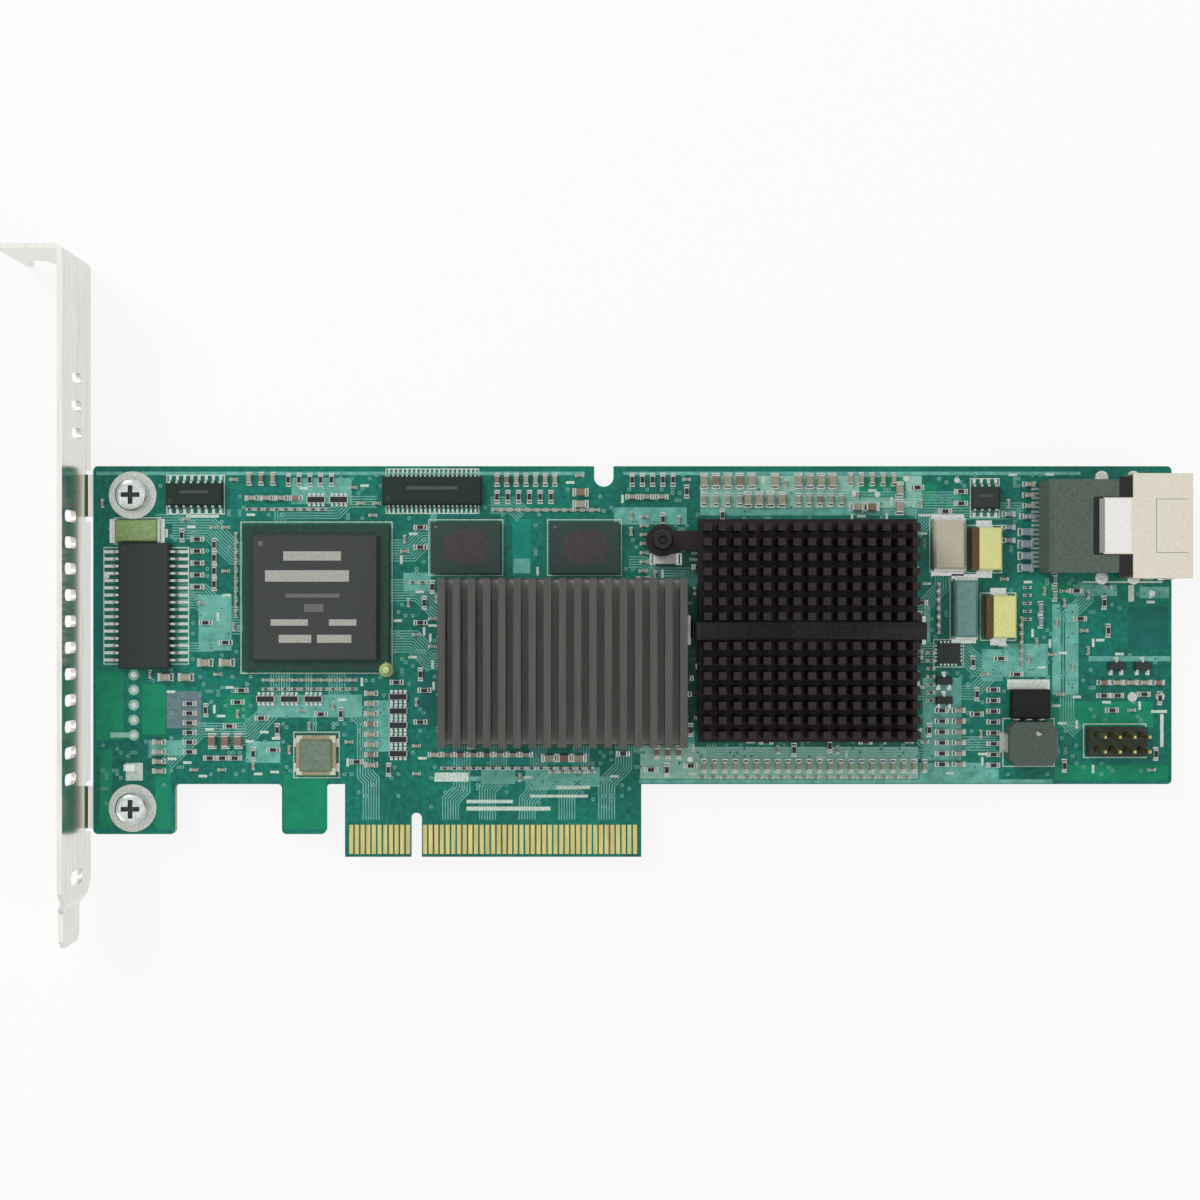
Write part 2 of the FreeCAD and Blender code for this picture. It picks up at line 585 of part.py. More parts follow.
def screw(y):
    """A pan-head screw with a cross recess, its thread left plain."""
    shoulder = FACE + HEAD_HEIGHT - HEAD_CROWN
    shank = post(SCREW_X, y, FACE - SCREW_REACH, SCREW_SHANK, SCREW_REACH)
    head = post(SCREW_X, y, FACE, HEAD_WIDTH, HEAD_HEIGHT - HEAD_CROWN)
    crown = cone(SCREW_X, y, shoulder, HEAD_WIDTH, HEAD_CROWN, HEAD_TOP)
    body = shank.fuse([head, crown]).removeSplitter()
    floor = FACE + HEAD_HEIGHT - RECESS_DEPTH
    across = block(SCREW_X, y, floor, RECESS_SPAN, RECESS_WIDTH, RECESS_DEPTH + SPARE)
    along = block(SCREW_X, y, floor, RECESS_WIDTH, RECESS_SPAN, RECESS_DEPTH + SPARE)
    return body.cut(across.fuse(along))


def bracket_screws():
    """The screws that hold the board to the bracket's ears."""
    nodes["bracket_screw_upper"] = screw(SCREW_HIGH)
    nodes["bracket_screw_lower"] = screw(SCREW_LOW)


def processor():
    """The ball-grid processor: substrate, moulded cap and its outer solder balls."""
    low = FACE + BALL_HEIGHT
    nodes["processor_substrate"] = block(PROCESSOR_X, PROCESSOR_Y, low, PROCESSOR_SIZE,
                                         PROCESSOR_SIZE, SUBSTRATE_THICK)
    cap = PROCESSOR_SIZE - 2 * CAP_INSET
    nodes["processor_cap"] = moulded(PROCESSOR_X, PROCESSOR_Y, low + SUBSTRATE_THICK, cap, cap,
                                     CAP_THICK, CAP_CHAMFER)
    reach = PROCESSOR_SIZE / 2 - BALL_INSET
    steps = int(2 * reach / BALL_PITCH)
    places = set()
    for i in range(steps + 1):
        along = round(-reach + i * 2 * reach / steps, 3)
        edge = round(reach, 3)
        places |= {(along, -edge), (along, edge), (-edge, along), (edge, along)}
    nodes["processor_solder_balls"] = Part.makeCompound(
        [block(PROCESSOR_X + x, PROCESSOR_Y + y, FACE, BALL_WIDTH, BALL_WIDTH, BALL_HEIGHT)
         for x, y in sorted(places)])


def finned_heatsink():
    """The extruded heat sink with straight fins, on its chip and thermal pad."""
    x = FIN_SINK_X + FIN_SINK_WIDTH / 2
    y = FIN_SINK_FOOT + FIN_SINK_LENGTH / 2
    pad = BRIDGE_SIZE - THERMAL_PAD_INSET
    nodes["bridge_chip"] = block(x, y, FACE, BRIDGE_SIZE, BRIDGE_SIZE, BRIDGE_THICK)
    nodes["bridge_thermal_pad"] = block(x, y, FACE + BRIDGE_THICK, pad, pad, THERMAL_PAD)
    low = FACE + BRIDGE_THICK + THERMAL_PAD
    high = low + FIN_BASE + FIN_HEIGHT
    outline = [(FIN_SINK_X, low), (FIN_SINK_X + FIN_SINK_WIDTH, low),
               (FIN_SINK_X + FIN_SINK_WIDTH, low + FIN_BASE)]
    for i in reversed(range(FIN_COUNT)):
        start = FIN_SINK_X + FIN_MARGIN + i * FIN_PITCH
        outline += [(start + FIN_THICK, low + FIN_BASE), (start + FIN_THICK, high),
                    (start, high), (start, low + FIN_BASE)]
    outline.append((FIN_SINK_X, low + FIN_BASE))
    nodes["finned_heatsink"] = prism([V(a, FIN_SINK_FOOT, b) for a, b in outline],
                                     V(0, FIN_SINK_LENGTH, 0))


def pin_heatsink():
    """The pin heat sink with its arm, on its chip and thermal pad."""
    pad = CONTROLLER_SIZE - THERMAL_PAD_INSET
    nodes["controller_chip"] = block(CONTROLLER_X, CONTROLLER_Y, FACE, CONTROLLER_SIZE,
                                     CONTROLLER_SIZE, CONTROLLER_THICK)
    nodes["controller_thermal_pad"] = block(CONTROLLER_X, CONTROLLER_Y, FACE + CONTROLLER_THICK,
                                            pad, pad, THERMAL_PAD)
    base = slab(PIN_SINK_X, PIN_SINK_FOOT, PIN_BASE_LOW, PIN_SINK_END, PIN_SINK_TOP, PIN_BASE_TOP)
    arm = slab(PUSH_X, PUSH_Y - ARM_WIDTH / 2, PIN_BASE_LOW, PIN_SINK_X + SPARE,
               PUSH_Y + ARM_WIDTH / 2, PIN_BASE_LOW + ARM_THICK)
    eye = post(PUSH_X, PUSH_Y, PIN_BASE_LOW, ARM_EYE, ARM_THICK)
    pins = []
    for column in range(PIN_COUNT):
        for row in range(PIN_COUNT):
            if row == PIN_COUNT // 2:
                continue
            left = PIN_SINK_X + PIN_MARGIN_X + column * PIN_PITCH
            low = PIN_SINK_FOOT + PIN_MARGIN_Y + row * PIN_PITCH
            pins.append(slab(left, low, PIN_BASE_TOP, left + PIN_THICK, low + PIN_THICK,
                             PIN_BASE_TOP + PIN_HEIGHT))
    body = base.fuse([arm, eye] + pins)
    hole = post(PUSH_X, PUSH_Y, PIN_BASE_LOW - SPARE, STEM_WIDTH + 2 * STEM_CLEAR,
                ARM_THICK + 2 * SPARE)
    nodes["pin_heatsink"] = body.cut(hole).removeSplitter()


def anchor_places():
    """The x of both wire anchors beside the pin heat sink."""
    return [PIN_SINK_X - ANCHOR_OUT, PIN_SINK_END + ANCHOR_OUT]


def heatsink_clip():
    """The spring clip across the pin heat sink, and the anchors that hold its hooks."""
    low = CONTROLLER_Y - CLIP_WIDTH / 2
    left = PIN_SINK_X - CLIP_LEG
    right = PIN_SINK_END + CLIP_LEG
    seat_z = PIN_BASE_TOP + CLIP_THICK / 2
    high = seat_z + CLIP_RISE
    path = [(left - CLIP_THICK / 2 - CLIP_HOOK, HOOK_Z), (left, HOOK_Z), (left, high),
            (CONTROLLER_X - CLIP_SEAT / 2, seat_z), (CONTROLLER_X + CLIP_SEAT / 2, seat_z),
            (right, high), (right, HOOK_Z), (right + CLIP_THICK / 2 + CLIP_HOOK, HOOK_Z)]
    nodes["heatsink_clip"] = folded([V(a, low, b) for a, b in path], CLIP_THICK, CLIP_BEND,
                                    V(0, CLIP_WIDTH, 0))
    under = HOOK_Z + CLIP_THICK / 2
    top = under + ANCHOR_WIRE
    foot = BACK - ANCHOR_TAIL
    outer = ANCHOR_SPAN + ANCHOR_WIRE / 2
    inner = ANCHOR_SPAN - ANCHOR_WIRE / 2
    staple = [(-outer, foot), (-outer, top), (outer, top), (outer, foot),
              (inner, foot), (inner, under), (-inner, under), (-inner, foot)]
    nodes["clip_anchors"] = Part.makeCompound(
        [prism([V(x - ANCHOR_WIRE / 2, CONTROLLER_Y + a, b) for a, b in staple],
               V(ANCHOR_WIRE, 0, 0)) for x in anchor_places()])


def push_pin():
    """The nylon push pin through the sink's arm, with its split barb under the board."""
    head_low = PIN_BASE_LOW + ARM_THICK + PUSH_SPRING
    barb_top = BACK - BARB_CLEAR
    barb_low = barb_top - BARB_LENGTH
    barb = cone(PUSH_X, PUSH_Y, barb_low, BARB_TIP, BARB_LENGTH, BARB_WIDTH)
    stem = post(PUSH_X, PUSH_Y, barb_low, STEM_WIDTH, head_low - barb_low)
    head = post(PUSH_X, PUSH_Y, head_low, PUSH_HEAD_WIDTH, PUSH_HEAD_THICK)
    body = barb.fuse([stem, head]).removeSplitter()
    slit = slab(PUSH_X - BARB_WIDTH, PUSH_Y - BARB_SLIT / 2, barb_low - SPARE,
                PUSH_X + BARB_WIDTH, PUSH_Y + BARB_SLIT / 2, BACK)
    nodes["heatsink_push_pin"] = body.cut(slit)


def memory_chips():
    """Two memory chips above the finned heat sink."""
    y = FIN_SINK_TOP + MEMORY_ABOVE_SINK + MEMORY_WIDTH / 2
    for i, name in enumerate(("memory_chip_left", "memory_chip_right")):
        x = MEMORY_X + MEMORY_LENGTH / 2 + i * (MEMORY_LENGTH + MEMORY_GAP)
        nodes[name] = block(x, y, FACE + MEMORY_LIFT, MEMORY_LENGTH, MEMORY_WIDTH, MEMORY_THICK)


def gull_chip(kind, x, y, upright):
    """A moulded chip with bent leads on both long sides; upright turns it along Y."""
    low = FACE + GULL_LIFT
    middle = low + kind.thick / 2
    side = kind.width / 2
    tip = kind.span / 2
    half = kind.lead_thick / 2
    outline = [(side, middle + half), (side, middle - half), (tip - kind.foot, FACE),
               (tip, FACE), (tip, FACE + kind.lead_thick),
               (tip - kind.foot + half, FACE + kind.lead_thick)]
    leads = []
    first = -(kind.count - 1) * kind.pitch / 2
    for i in range(kind.count):
        along = first + i * kind.pitch - kind.lead_width / 2
        for sign in (-1, 1):
            ring = [V(along, sign * a, b) for a, b in outline]
            leads.append(prism(ring, V(kind.lead_width, 0, 0)))
    body = moulded(0, 0, low, kind.length, kind.width, kind.thick, GULL_CHAMFER)
    for name, shape in ((kind.name, body), (kind.name + "_leads", Part.makeCompound(leads))):
        if upright:
            shape.rotate(V(0, 0, 0), V(0, 0, 1), 90)
        shape.translate(V(x, y, 0))
        nodes[name] = shape


def plug_contact(y, upper):
    """One contact, lying on the roof or the floor of the card slot."""
    wall = NOSE_MIDDLE + (CARD_SLOT_HEIGHT / 2 if upper else -CARD_SLOT_HEIGHT / 2)
    low = wall - PLUG_CONTACT_THICK if upper else wall
    return slab(SHELL_X, y - PLUG_CONTACT_WIDTH / 2, low, SHELL_X + NOSE_LENGTH - PLUG_CONTACT_WIDTH,
                y + PLUG_CONTACT_WIDTH / 2, low + PLUG_CONTACT_THICK)


def cable_receptacle():
    """The drive cable's receptacle: black housing, metal shell, contacts and tails."""
    rear_x = SHELL_X - REAR_LENGTH
    rear_width = PLUG_WIDTH - 2 * REAR_INSET
    rear = slab(rear_x, PLUG_Y - rear_width / 2, FACE, SHELL_X, PLUG_Y + rear_width / 2,
                FACE + REAR_HEIGHT)
    back_top = [e for e in rear.Edges if all(abs(v.X - rear_x) < SHELL_SHEET for v in e.Vertexes)
                and min(v.Z for v in e.Vertexes) > FACE + REAR_HEIGHT / 2]
    rear = rear.makeChamfer(REAR_CHAMFER, back_top)
    pocket_low = FACE + PLUG_HEIGHT - SHELL_SHEET
    pocket = slab(SHELL_X - LATCH_POCKET, PLUG_Y - LATCH_WIDTH / 2 - LATCH_CLEAR,
                  pocket_low - SHELL_SHEET - LATCH_CLEAR, SHELL_X,
                  PLUG_Y + LATCH_WIDTH / 2 + LATCH_CLEAR, FACE + REAR_HEIGHT + SPARE)
    nose = slab(SHELL_X, PLUG_Y - NOSE_WIDTH / 2, NOSE_MIDDLE - NOSE_HEIGHT / 2,
                SHELL_X + NOSE_LENGTH, PLUG_Y + NOSE_WIDTH / 2, NOSE_MIDDLE + NOSE_HEIGHT / 2)
    card = slab(SHELL_X, PLUG_Y - CARD_SLOT_WIDTH / 2, NOSE_MIDDLE - CARD_SLOT_HEIGHT / 2,
                SHELL_X + NOSE_LENGTH + SPARE, PLUG_Y + CARD_SLOT_WIDTH / 2,
                NOSE_MIDDLE + CARD_SLOT_HEIGHT / 2)
    nodes["receptacle_housing"] = rear.cut(pocket).fuse(nose).cut(card).removeSplitter()
    outer = slab(SHELL_X, SHELL_LOW_Y, FACE, SHELL_X + PLUG_DEPTH, SHELL_LOW_Y + PLUG_WIDTH,
                 FACE + PLUG_HEIGHT)
    inner = slab(SHELL_X - SPARE, SHELL_LOW_Y + SHELL_SHEET, FACE + SHELL_SHEET,
                 SHELL_X + PLUG_DEPTH + SPARE, SHELL_LOW_Y + PLUG_WIDTH - SHELL_SHEET,
                 FACE + PLUG_HEIGHT - SHELL_SHEET)
    latch = slab(SHELL_X - LATCH_LENGTH, PLUG_Y - LATCH_WIDTH / 2, pocket_low,
                 SHELL_X + SPARE, PLUG_Y + LATCH_WIDTH / 2, FACE + PLUG_HEIGHT)
    pegs = []
    for x in PEG_PLACES:
        for y in (SHELL_LOW_Y + SHELL_SHEET / 2, SHELL_LOW_Y + PLUG_WIDTH - SHELL_SHEET / 2):
            pegs.append(block(x, y, BACK - PEG_LENGTH, PEG_WIDTH, SHELL_SHEET,
                              BOARD_THICK + PEG_LENGTH + SHELL_SHEET))
    nodes["receptacle_shell"] = outer.cut(inner).fuse([latch] + pegs).removeSplitter()
    first = PLUG_Y - (PLUG_CONTACTS - 1) * PLUG_PITCH / 2
    places = [first + i * PLUG_PITCH for i in range(PLUG_CONTACTS)]
    nodes["receptacle_contacts"] = Part.makeCompound(
        [plug_contact(y, upper) for y in places for upper in (False, True)])
    nodes["receptacle_solder_tails"] = Part.makeCompound(
        [slab(rear_x - TAIL_REACH, y - PLUG_CONTACT_WIDTH / 2, FACE, rear_x,
              y + PLUG_CONTACT_WIDTH / 2, FACE + TAIL_THICK) for y in places])


def header_places():
    """The x, y of every post of the pin header."""
    columns = [HEADER_X + (i - (HEADER_COLUMNS - 1) / 2) * HEADER_PITCH
               for i in range(HEADER_COLUMNS)]
    rows = [HEADER_Y + (i - (HEADER_ROWS - 1) / 2) * HEADER_PITCH for i in range(HEADER_ROWS)]
    return [(x, y) for x in columns for y in rows]


def pin_header():
    """The two-row pin header: moulded base and square posts through the board."""
    base = block(HEADER_X, HEADER_Y, FACE, HEADER_COLUMNS * HEADER_PITCH,
                 HEADER_ROWS * HEADER_PITCH, HEADER_BASE)
    wide = HEADER_POST + 2 * HEADER_CLEAR
    base = base.cut([block(x, y, FACE - SPARE, wide, wide, HEADER_BASE + 2 * SPARE)
                     for x, y in header_places()])
    nodes["pin_header_base"] = base
    height = HEADER_TAIL + BOARD_THICK + HEADER_BASE + HEADER_RISE
    nodes["pin_header_posts"] = Part.makeCompound(
        [block(x, y, BACK - HEADER_TAIL, HEADER_POST, HEADER_POST, height)
         for x, y in header_places()])


def power_parts():
    """The inductor and the regulator of the supply in the lower far corner."""
    inductor = block(INDUCTOR_AT, INDUCTOR_AT_Y, FACE, INDUCTOR_X, INDUCTOR_Y, INDUCTOR_HEIGHT)
    upright = [e for e in inductor.Edges if abs(e.Vertexes[0].Z - e.Vertexes[1].Z) > INDUCTOR_CHAMFER]
    nodes["power_inductor"] = inductor.makeChamfer(INDUCTOR_CHAMFER, upright)
    y = INDUCTOR_AT_Y + INDUCTOR_Y / 2 + REGULATOR_GAP + REGULATOR_Y / 2
    low = FACE + TERMINAL_THICK
    nodes["regulator_body"] = moulded(INDUCTOR_AT, y, low, REGULATOR_X, REGULATOR_Y,
                                      REGULATOR_HEIGHT, GULL_CHAMFER)
    nodes["regulator_tab"] = slab(INDUCTOR_AT - REGULATOR_X / 2, y - REGULATOR_Y / 4, FACE,
                                  INDUCTOR_AT + REGULATOR_X / 2,
                                  y + REGULATOR_Y / 2 + REGULATOR_TAB, low)


def terminal_strips(x, y, size_x, size_y, height):
    """Bent end terminals of a moulded capacitor that stands upright along Y."""
    strips = []
    for sign in (-1, 1):
        edge = y + sign * size_y / 2
        up = [V(x - size_x / 4, edge, FACE), V(x - size_x / 4, edge + sign * TERMINAL_REACH, FACE),
              V(x - size_x / 4, edge + sign * TERMINAL_REACH, FACE + height / 2),
              V(x - size_x / 4, edge, FACE + height / 2)]
        strips.append(prism(up, V(size_x / 2, 0, 0)))
    return strips


def capacitors():
    """Two tantalum capacitors and two ceramic blocks beside the pin heat sink."""
    strips = []
    for name, (from_sink, from_top) in TANTALUM_CORNERS.items():
        x = PIN_SINK_END + from_sink
        y = BOARD_TOP - from_top
        nodes[name] = moulded(x, y, FACE, TANTALUM_X, TANTALUM_Y, TANTALUM_HEIGHT, GULL_CHAMFER)
        strips += terminal_strips(x, y, TANTALUM_X, TANTALUM_Y, TANTALUM_HEIGHT)
    nodes["tantalum_terminals"] = Part.makeCompound(strips)
    nodes["film_capacitor"] = moulded(PIN_SINK_END + FILM_FROM_SINK, BOARD_TOP - FILM_FROM_TOP,
                                      FACE, FILM_SIZE.x, FILM_SIZE.y, FILM_SIZE.z, BLOCK_CHAMFER)
    nodes["filter_choke"] = moulded(PIN_SINK_END + CHOKE_FROM_SINK, BOARD_TOP - CHOKE_FROM_TOP,
                                    FACE, CHOKE_SIZE.x, CHOKE_SIZE.y, CHOKE_SIZE.z, BLOCK_CHAMFER)


def lone_parts():
    """The clock oscillator, the clock buffer, the resettable fuse and the status light."""
    y = BOARD_FOOT + OSCILLATOR_ABOVE_FOOT
    nodes["oscillator_base"] = block(PROCESSOR_X, y, FACE, OSCILLATOR_SIZE, OSCILLATOR_SIZE,
                                     OSCILLATOR_BASE)
    lid = OSCILLATOR_SIZE - 2 * OSCILLATOR_RIM
    nodes["oscillator_lid"] = moulded(PROCESSOR_X, y, FACE + OSCILLATOR_BASE, lid, lid,
                                      OSCILLATOR_LID, OSCILLATOR_LID / 2)
    nodes["resettable_fuse"] = moulded(BOARD_EDGE + FUSE_FROM_EDGE, BOARD_TOP - FUSE_FROM_TOP, FACE,
                                       FUSE_X, FUSE_Y, FUSE_HEIGHT, GULL_CHAMFER)
    nodes["clock_buffer"] = block(PIN_SINK_END + BUFFER_FROM_SINK, BOARD_TOP - BUFFER_FROM_TOP, FACE,
                                  BUFFER_SIZE.x, BUFFER_SIZE.y, BUFFER_SIZE.z)
    nodes["status_led"] = block(BOARD_EDGE + LED_FROM_EDGE, BOARD_FOOT + LED_ABOVE_FOOT, FACE,
                                LED_SIZE.x, LED_SIZE.y, LED_SIZE.z)


# Chip parts: size along the part, across it, and height
CHIP_SIZES = {
    "capacitor_medium": (1.6, 0.8, 0.8),
    "capacitor_large": (2.0, 1.25, 1.1),
    "resistor_array": (3.2, 1.6, 0.55),
    "transistor": (2.9, 1.3, 1.0),
}

# A row of chip parts: which corner of the board it is measured from, the first part's
# distance from that corner, the step to the next part, how many there are, and
# whether the parts are turned along Y
Row = namedtuple("Row", "kind corner x y step_x step_y count turned")
ROWS = [
    Row("capacitor_medium", "left_top", 27.5, -2.2, 2.1, 0.0, 3, True),
    Row("capacitor_medium", "left_top", 27.9, -5.6, 2.6, 0.0, 4, False),
    Row("resistor_array", "left_top", 39.3, -5.9, 4.0, 0.0, 2, False),
    Row("capacitor_medium", "key_top", 14.2, -2.4, 1.7, 0.0, 7, True),
    Row("capacitor_large", "key_top", 28.9, -4.6, 0.0, -2.1, 2, False),
    Row("capacitor_medium", "key_top", 38.0, -5.4, 2.6, 0.0, 3, False),
    Row("capacitor_large", "sink_top", 1.2, -2.6, 2.1, 0.0, 4, True),
    Row("capacitor_medium", "sink_top", 1.2, -5.9, 2.1, 0.0, 4, True),
    Row("capacitor_large", "sink_top", 9.6, -2.6, 4.1, 0.0, 2, True),
    Row("capacitor_large", "sink_top", 8.9, -5.9, 2.0, 0.0, 4, True),
    Row("capacitor_large", "sink_top", 17.8, -2.6, 2.0, 0.0, 4, True),
    Row("capacitor_medium", "sink_top", 17.8, -5.9, 1.9, 0.0, 5, True),
    Row("capacitor_large", "sink_top", 28.2, -7.2, 2.5, 0.0, 2, False),
    Row("capacitor_large", "sink_top", 35.6, -7.2, 0.0, 3.1, 2, True),
    Row("capacitor_large", "left_low", 12.75, 18.84, 3.6, 0.0, 2, False),
    Row("capacitor_large", "left_low", 19.75, 21.4, 3.8, 0.0, 2, False),
    Row("capacitor_large", "left_low", 21.0, 7.6, 2.3, 0.0, 3, True),
    Row("capacitor_medium", "left_low", 11.6, 7.4, 0.0, -1.7, 4, False),
    Row("resistor_array", "left_low", 30.4, 15.0, 4.2, 0.0, 3, False),
    Row("capacitor_medium", "key_low", -8.0, 16.0, 0.0, -1.8, 8, False),
    Row("resistor_array", "key_low", -3.2, 15.4, 0.0, -2.5, 5, False),
    Row("capacitor_large", "key_low", 23.4, 4.6, 2.6, 0.0, 3, False),
    Row("capacitor_medium", "key_low", 3.2, 5.2, 2.3, 0.0, 8, False),
    Row("transistor", "sink_top", 43.4, -37.8, 0.0, -3.4, 2, False),
    Row("capacitor_large", "plug_top", 0.9, -11.6, 0.0, -2.1, 4, False),
    Row("capacitor_medium", "plug_top", 1.5, -3.2, 0.0, -1.9, 4, False),
    Row("capacitor_medium", "plug_low", 14.6, 17.9, 2.4, 0.0, 5, False),
    Row("transistor", "plug_low", 16.8, 20.8, 4.6, 0.0, 2, False),
    Row("capacitor_medium", "sink_end_low", 8.0, 13.0, 0.0, -1.9, 6, False),
]
ROW_CORNERS = {
    "left_top": (BOARD_EDGE, BOARD_TOP),
    "left_low": (BOARD_EDGE, BOARD_FOOT),
    "key_top": (0.0, BOARD_TOP),
    "key_low": (0.0, BOARD_FOOT),
    "sink_top": (PIN_SINK_X, BOARD_TOP),
    "sink_low": (PIN_SINK_X, BOARD_FOOT),
    "sink_end_low": (PIN_SINK_END, BOARD_FOOT),
    "plug_top": (BOARD_END - PLUG_BAY, BOARD_TOP),
    "plug_low": (BOARD_END - PLUG_BAY, BOARD_FOOT),
}
BACK_COUNT = 3              # supply capacitors each way behind a large chip
BACK_PITCH = 5.6
CHIP_NODES = {
    "capacitor_medium": "chip_capacitors_medium",
    "capacitor_large": "chip_capacitors_large",
    "resistor_array": "resistor_arrays",
    "transistor": "small_transistors",
}


def chip_parts():
    """Rows of chip capacitors, resistor arrays and transistors."""
    groups = {name: [] for name in CHIP_NODES.values()}
    for row in ROWS:
        along, across, height = CHIP_SIZES[row.kind]
        size_x, size_y = (across, along) if row.turned else (along, across)
        corner_x, corner_y = ROW_CORNERS[row.corner]
        for i in range(row.count):
            x = corner_x + row.x + i * row.step_x
            y = corner_y + row.y + i * row.step_y
            groups[CHIP_NODES[row.kind]].append(block(x, y, FACE, size_x, size_y, height))
    for name, solids in groups.items():
        nodes[name] = Part.makeCompound(solids)


def back_capacitors():
    """Supply capacitors on the board's back, in a square grid behind each large chip."""
    along, across, height = CHIP_SIZES["capacitor_medium"]
    bridge = (FIN_SINK_X + FIN_SINK_WIDTH / 2, FIN_SINK_FOOT + FIN_SINK_LENGTH / 2)
    steps = [(i - (BACK_COUNT - 1) / 2) * BACK_PITCH for i in range(BACK_COUNT)]
    nodes["back_capacitors"] = Part.makeCompound(
        [block(x + across_x, y + up_y, BACK - height, along, across, height)
         for x, y in ((PROCESSOR_X, PROCESSOR_Y), bridge, (CONTROLLER_X, CONTROLLER_Y))
         for across_x in steps for up_y in steps])


def main():
    """Build every node and write it to its own file."""
    board()
    edge_contacts()
    bracket()
    bracket_screws()
    processor()
    finned_heatsink()
    pin_heatsink()
    heatsink_clip()
    push_pin()
    memory_chips()
    gull_chip(FLASH, BOARD_EDGE + FLASH_FROM_EDGE, BOARD_TOP - FLASH_FROM_TOP, True)
    gull_chip(LOGIC, BOARD_EDGE + LOGIC_FROM_EDGE, BOARD_TOP - LOGIC_FROM_TOP, False)
    gull_chip(DRIVER, DRIVER_X, BOARD_TOP - DRIVER_FROM_TOP, False)
    gull_chip(MONITOR, BOARD_END - MONITOR_FROM_END, BOARD_TOP - MONITOR_FROM_TOP, False)
    cable_receptacle()
    pin_header()
    power_parts()
    capacitors()
    lone_parts()
    chip_parts()
    back_capacitors()
    os.makedirs("parts", exist_ok=True)
    for name, shape in nodes.items():
        shape.exportStep(os.path.join("parts", name + ".step"))


main()
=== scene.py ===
"""The looks of a raid controller card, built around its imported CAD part.

The card lies with its components up and is seen from straight above. Lengths are
written in millimetres and turned to metres when a piece is finished.
"""
import logging
import math
import random
from dataclasses import dataclass
from enum import Enum
from typing import Any

import bmesh
import bpy
from mathutils import Matrix, Vector


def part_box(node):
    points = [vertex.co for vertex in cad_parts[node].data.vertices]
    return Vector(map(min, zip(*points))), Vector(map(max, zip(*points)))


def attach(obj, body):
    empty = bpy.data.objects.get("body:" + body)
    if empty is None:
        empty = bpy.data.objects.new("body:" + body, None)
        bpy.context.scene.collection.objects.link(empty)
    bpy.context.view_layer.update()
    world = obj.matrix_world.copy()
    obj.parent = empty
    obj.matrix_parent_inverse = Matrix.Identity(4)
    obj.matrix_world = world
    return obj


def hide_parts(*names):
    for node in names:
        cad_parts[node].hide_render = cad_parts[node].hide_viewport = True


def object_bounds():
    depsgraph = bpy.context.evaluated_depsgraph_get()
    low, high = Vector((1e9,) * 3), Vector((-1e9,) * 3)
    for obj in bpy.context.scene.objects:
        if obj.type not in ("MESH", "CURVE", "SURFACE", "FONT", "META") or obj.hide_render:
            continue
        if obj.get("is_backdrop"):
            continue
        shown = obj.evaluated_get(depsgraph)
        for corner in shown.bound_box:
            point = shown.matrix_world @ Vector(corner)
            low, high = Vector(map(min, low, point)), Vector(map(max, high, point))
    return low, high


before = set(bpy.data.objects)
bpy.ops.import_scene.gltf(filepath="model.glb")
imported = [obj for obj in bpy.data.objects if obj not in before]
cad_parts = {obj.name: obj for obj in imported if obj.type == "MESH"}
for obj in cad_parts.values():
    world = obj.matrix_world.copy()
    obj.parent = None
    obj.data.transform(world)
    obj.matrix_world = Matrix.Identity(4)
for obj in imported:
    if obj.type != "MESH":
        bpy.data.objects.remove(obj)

log = logging.getLogger("card")
MM = 0.001
ROOT = "root"
Point = tuple[float, float]
Triple = tuple[float, float, float]
Rect = tuple[float, float, float, float]
Box = tuple[Vector, Vector]
# A row of small parts: the first one's middle, the step, how many, and whether turned along Y
Row = tuple[Point, Point, int, bool]
SCREWS = ("bracket_screw_upper", "bracket_screw_lower")
TANTALUMS = ("tantalum_capacitor_upper", "tantalum_capacitor_lower")
MEMORIES = ("memory_chip_left", "memory_chip_right")


# Helpers for nodes, colours and places

def linear(colour: str) -> tuple[float, float, float, float]:
    """Turn an sRGB hex colour to linear red, green, blue and an alpha of one.

    Args:
        colour: six hex digits, such as "1E7A66".

    Returns:
        The linear colour with its alpha.
    """
    parts = [int(colour[i:i + 2], 16) / 255 for i in (0, 2, 4)]
    red, green, blue = [c / 12.92 if c <= 0.04045 else ((c + 0.055) / 1.055) ** 2.4 for c in parts]
    return red, green, blue, 1.0


def add(tree: bpy.types.NodeTree, kind: str, links: dict[Any, Any] | None = None,
        **settings: Any) -> bpy.types.Node:
    """Add a node with its settings, and fill or link its inputs.

    Args:
        tree: the node tree of a material or the world.
        kind: the node's type name.
        links: input name or number to a value or to another node's output.
        **settings: properties of the node.

    Returns:
        The new node.
    """
    node = tree.nodes.new(kind)
    for name, value in settings.items():
        setattr(node, name, value)
    for name, value in (links or {}).items():
        if isinstance(value, bpy.types.NodeSocket):
            tree.links.new(value, node.inputs[name])
        else:
            node.inputs[name].default_value = value
    return node


def calc(tree: bpy.types.NodeTree, operation: str, *values: Any) -> bpy.types.NodeSocket:
    """The result of a math node with these inputs."""
    return add(tree, "ShaderNodeMath", dict(enumerate(values)), operation=operation).outputs[0]


def mixed(tree: bpy.types.NodeTree, share: bpy.types.NodeSocket, first: Any,
          second: Any) -> bpy.types.NodeSocket:
    """A colour between the first and the second, by the share of the second."""
    return add(tree, "ShaderNodeMix", {0: share, 6: first, 7: second},
               data_type="RGBA").outputs[2]


def box_mm(node: str) -> Box:
    """The lowest and highest corner of a CAD node, in millimetres."""
    low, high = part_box(node)
    return low / MM, high / MM


def middle_of(low: Vector, high: Vector) -> Point:
    """The x and y of a box's middle."""
    return (low.x + high.x) / 2, (low.y + high.y) / 2


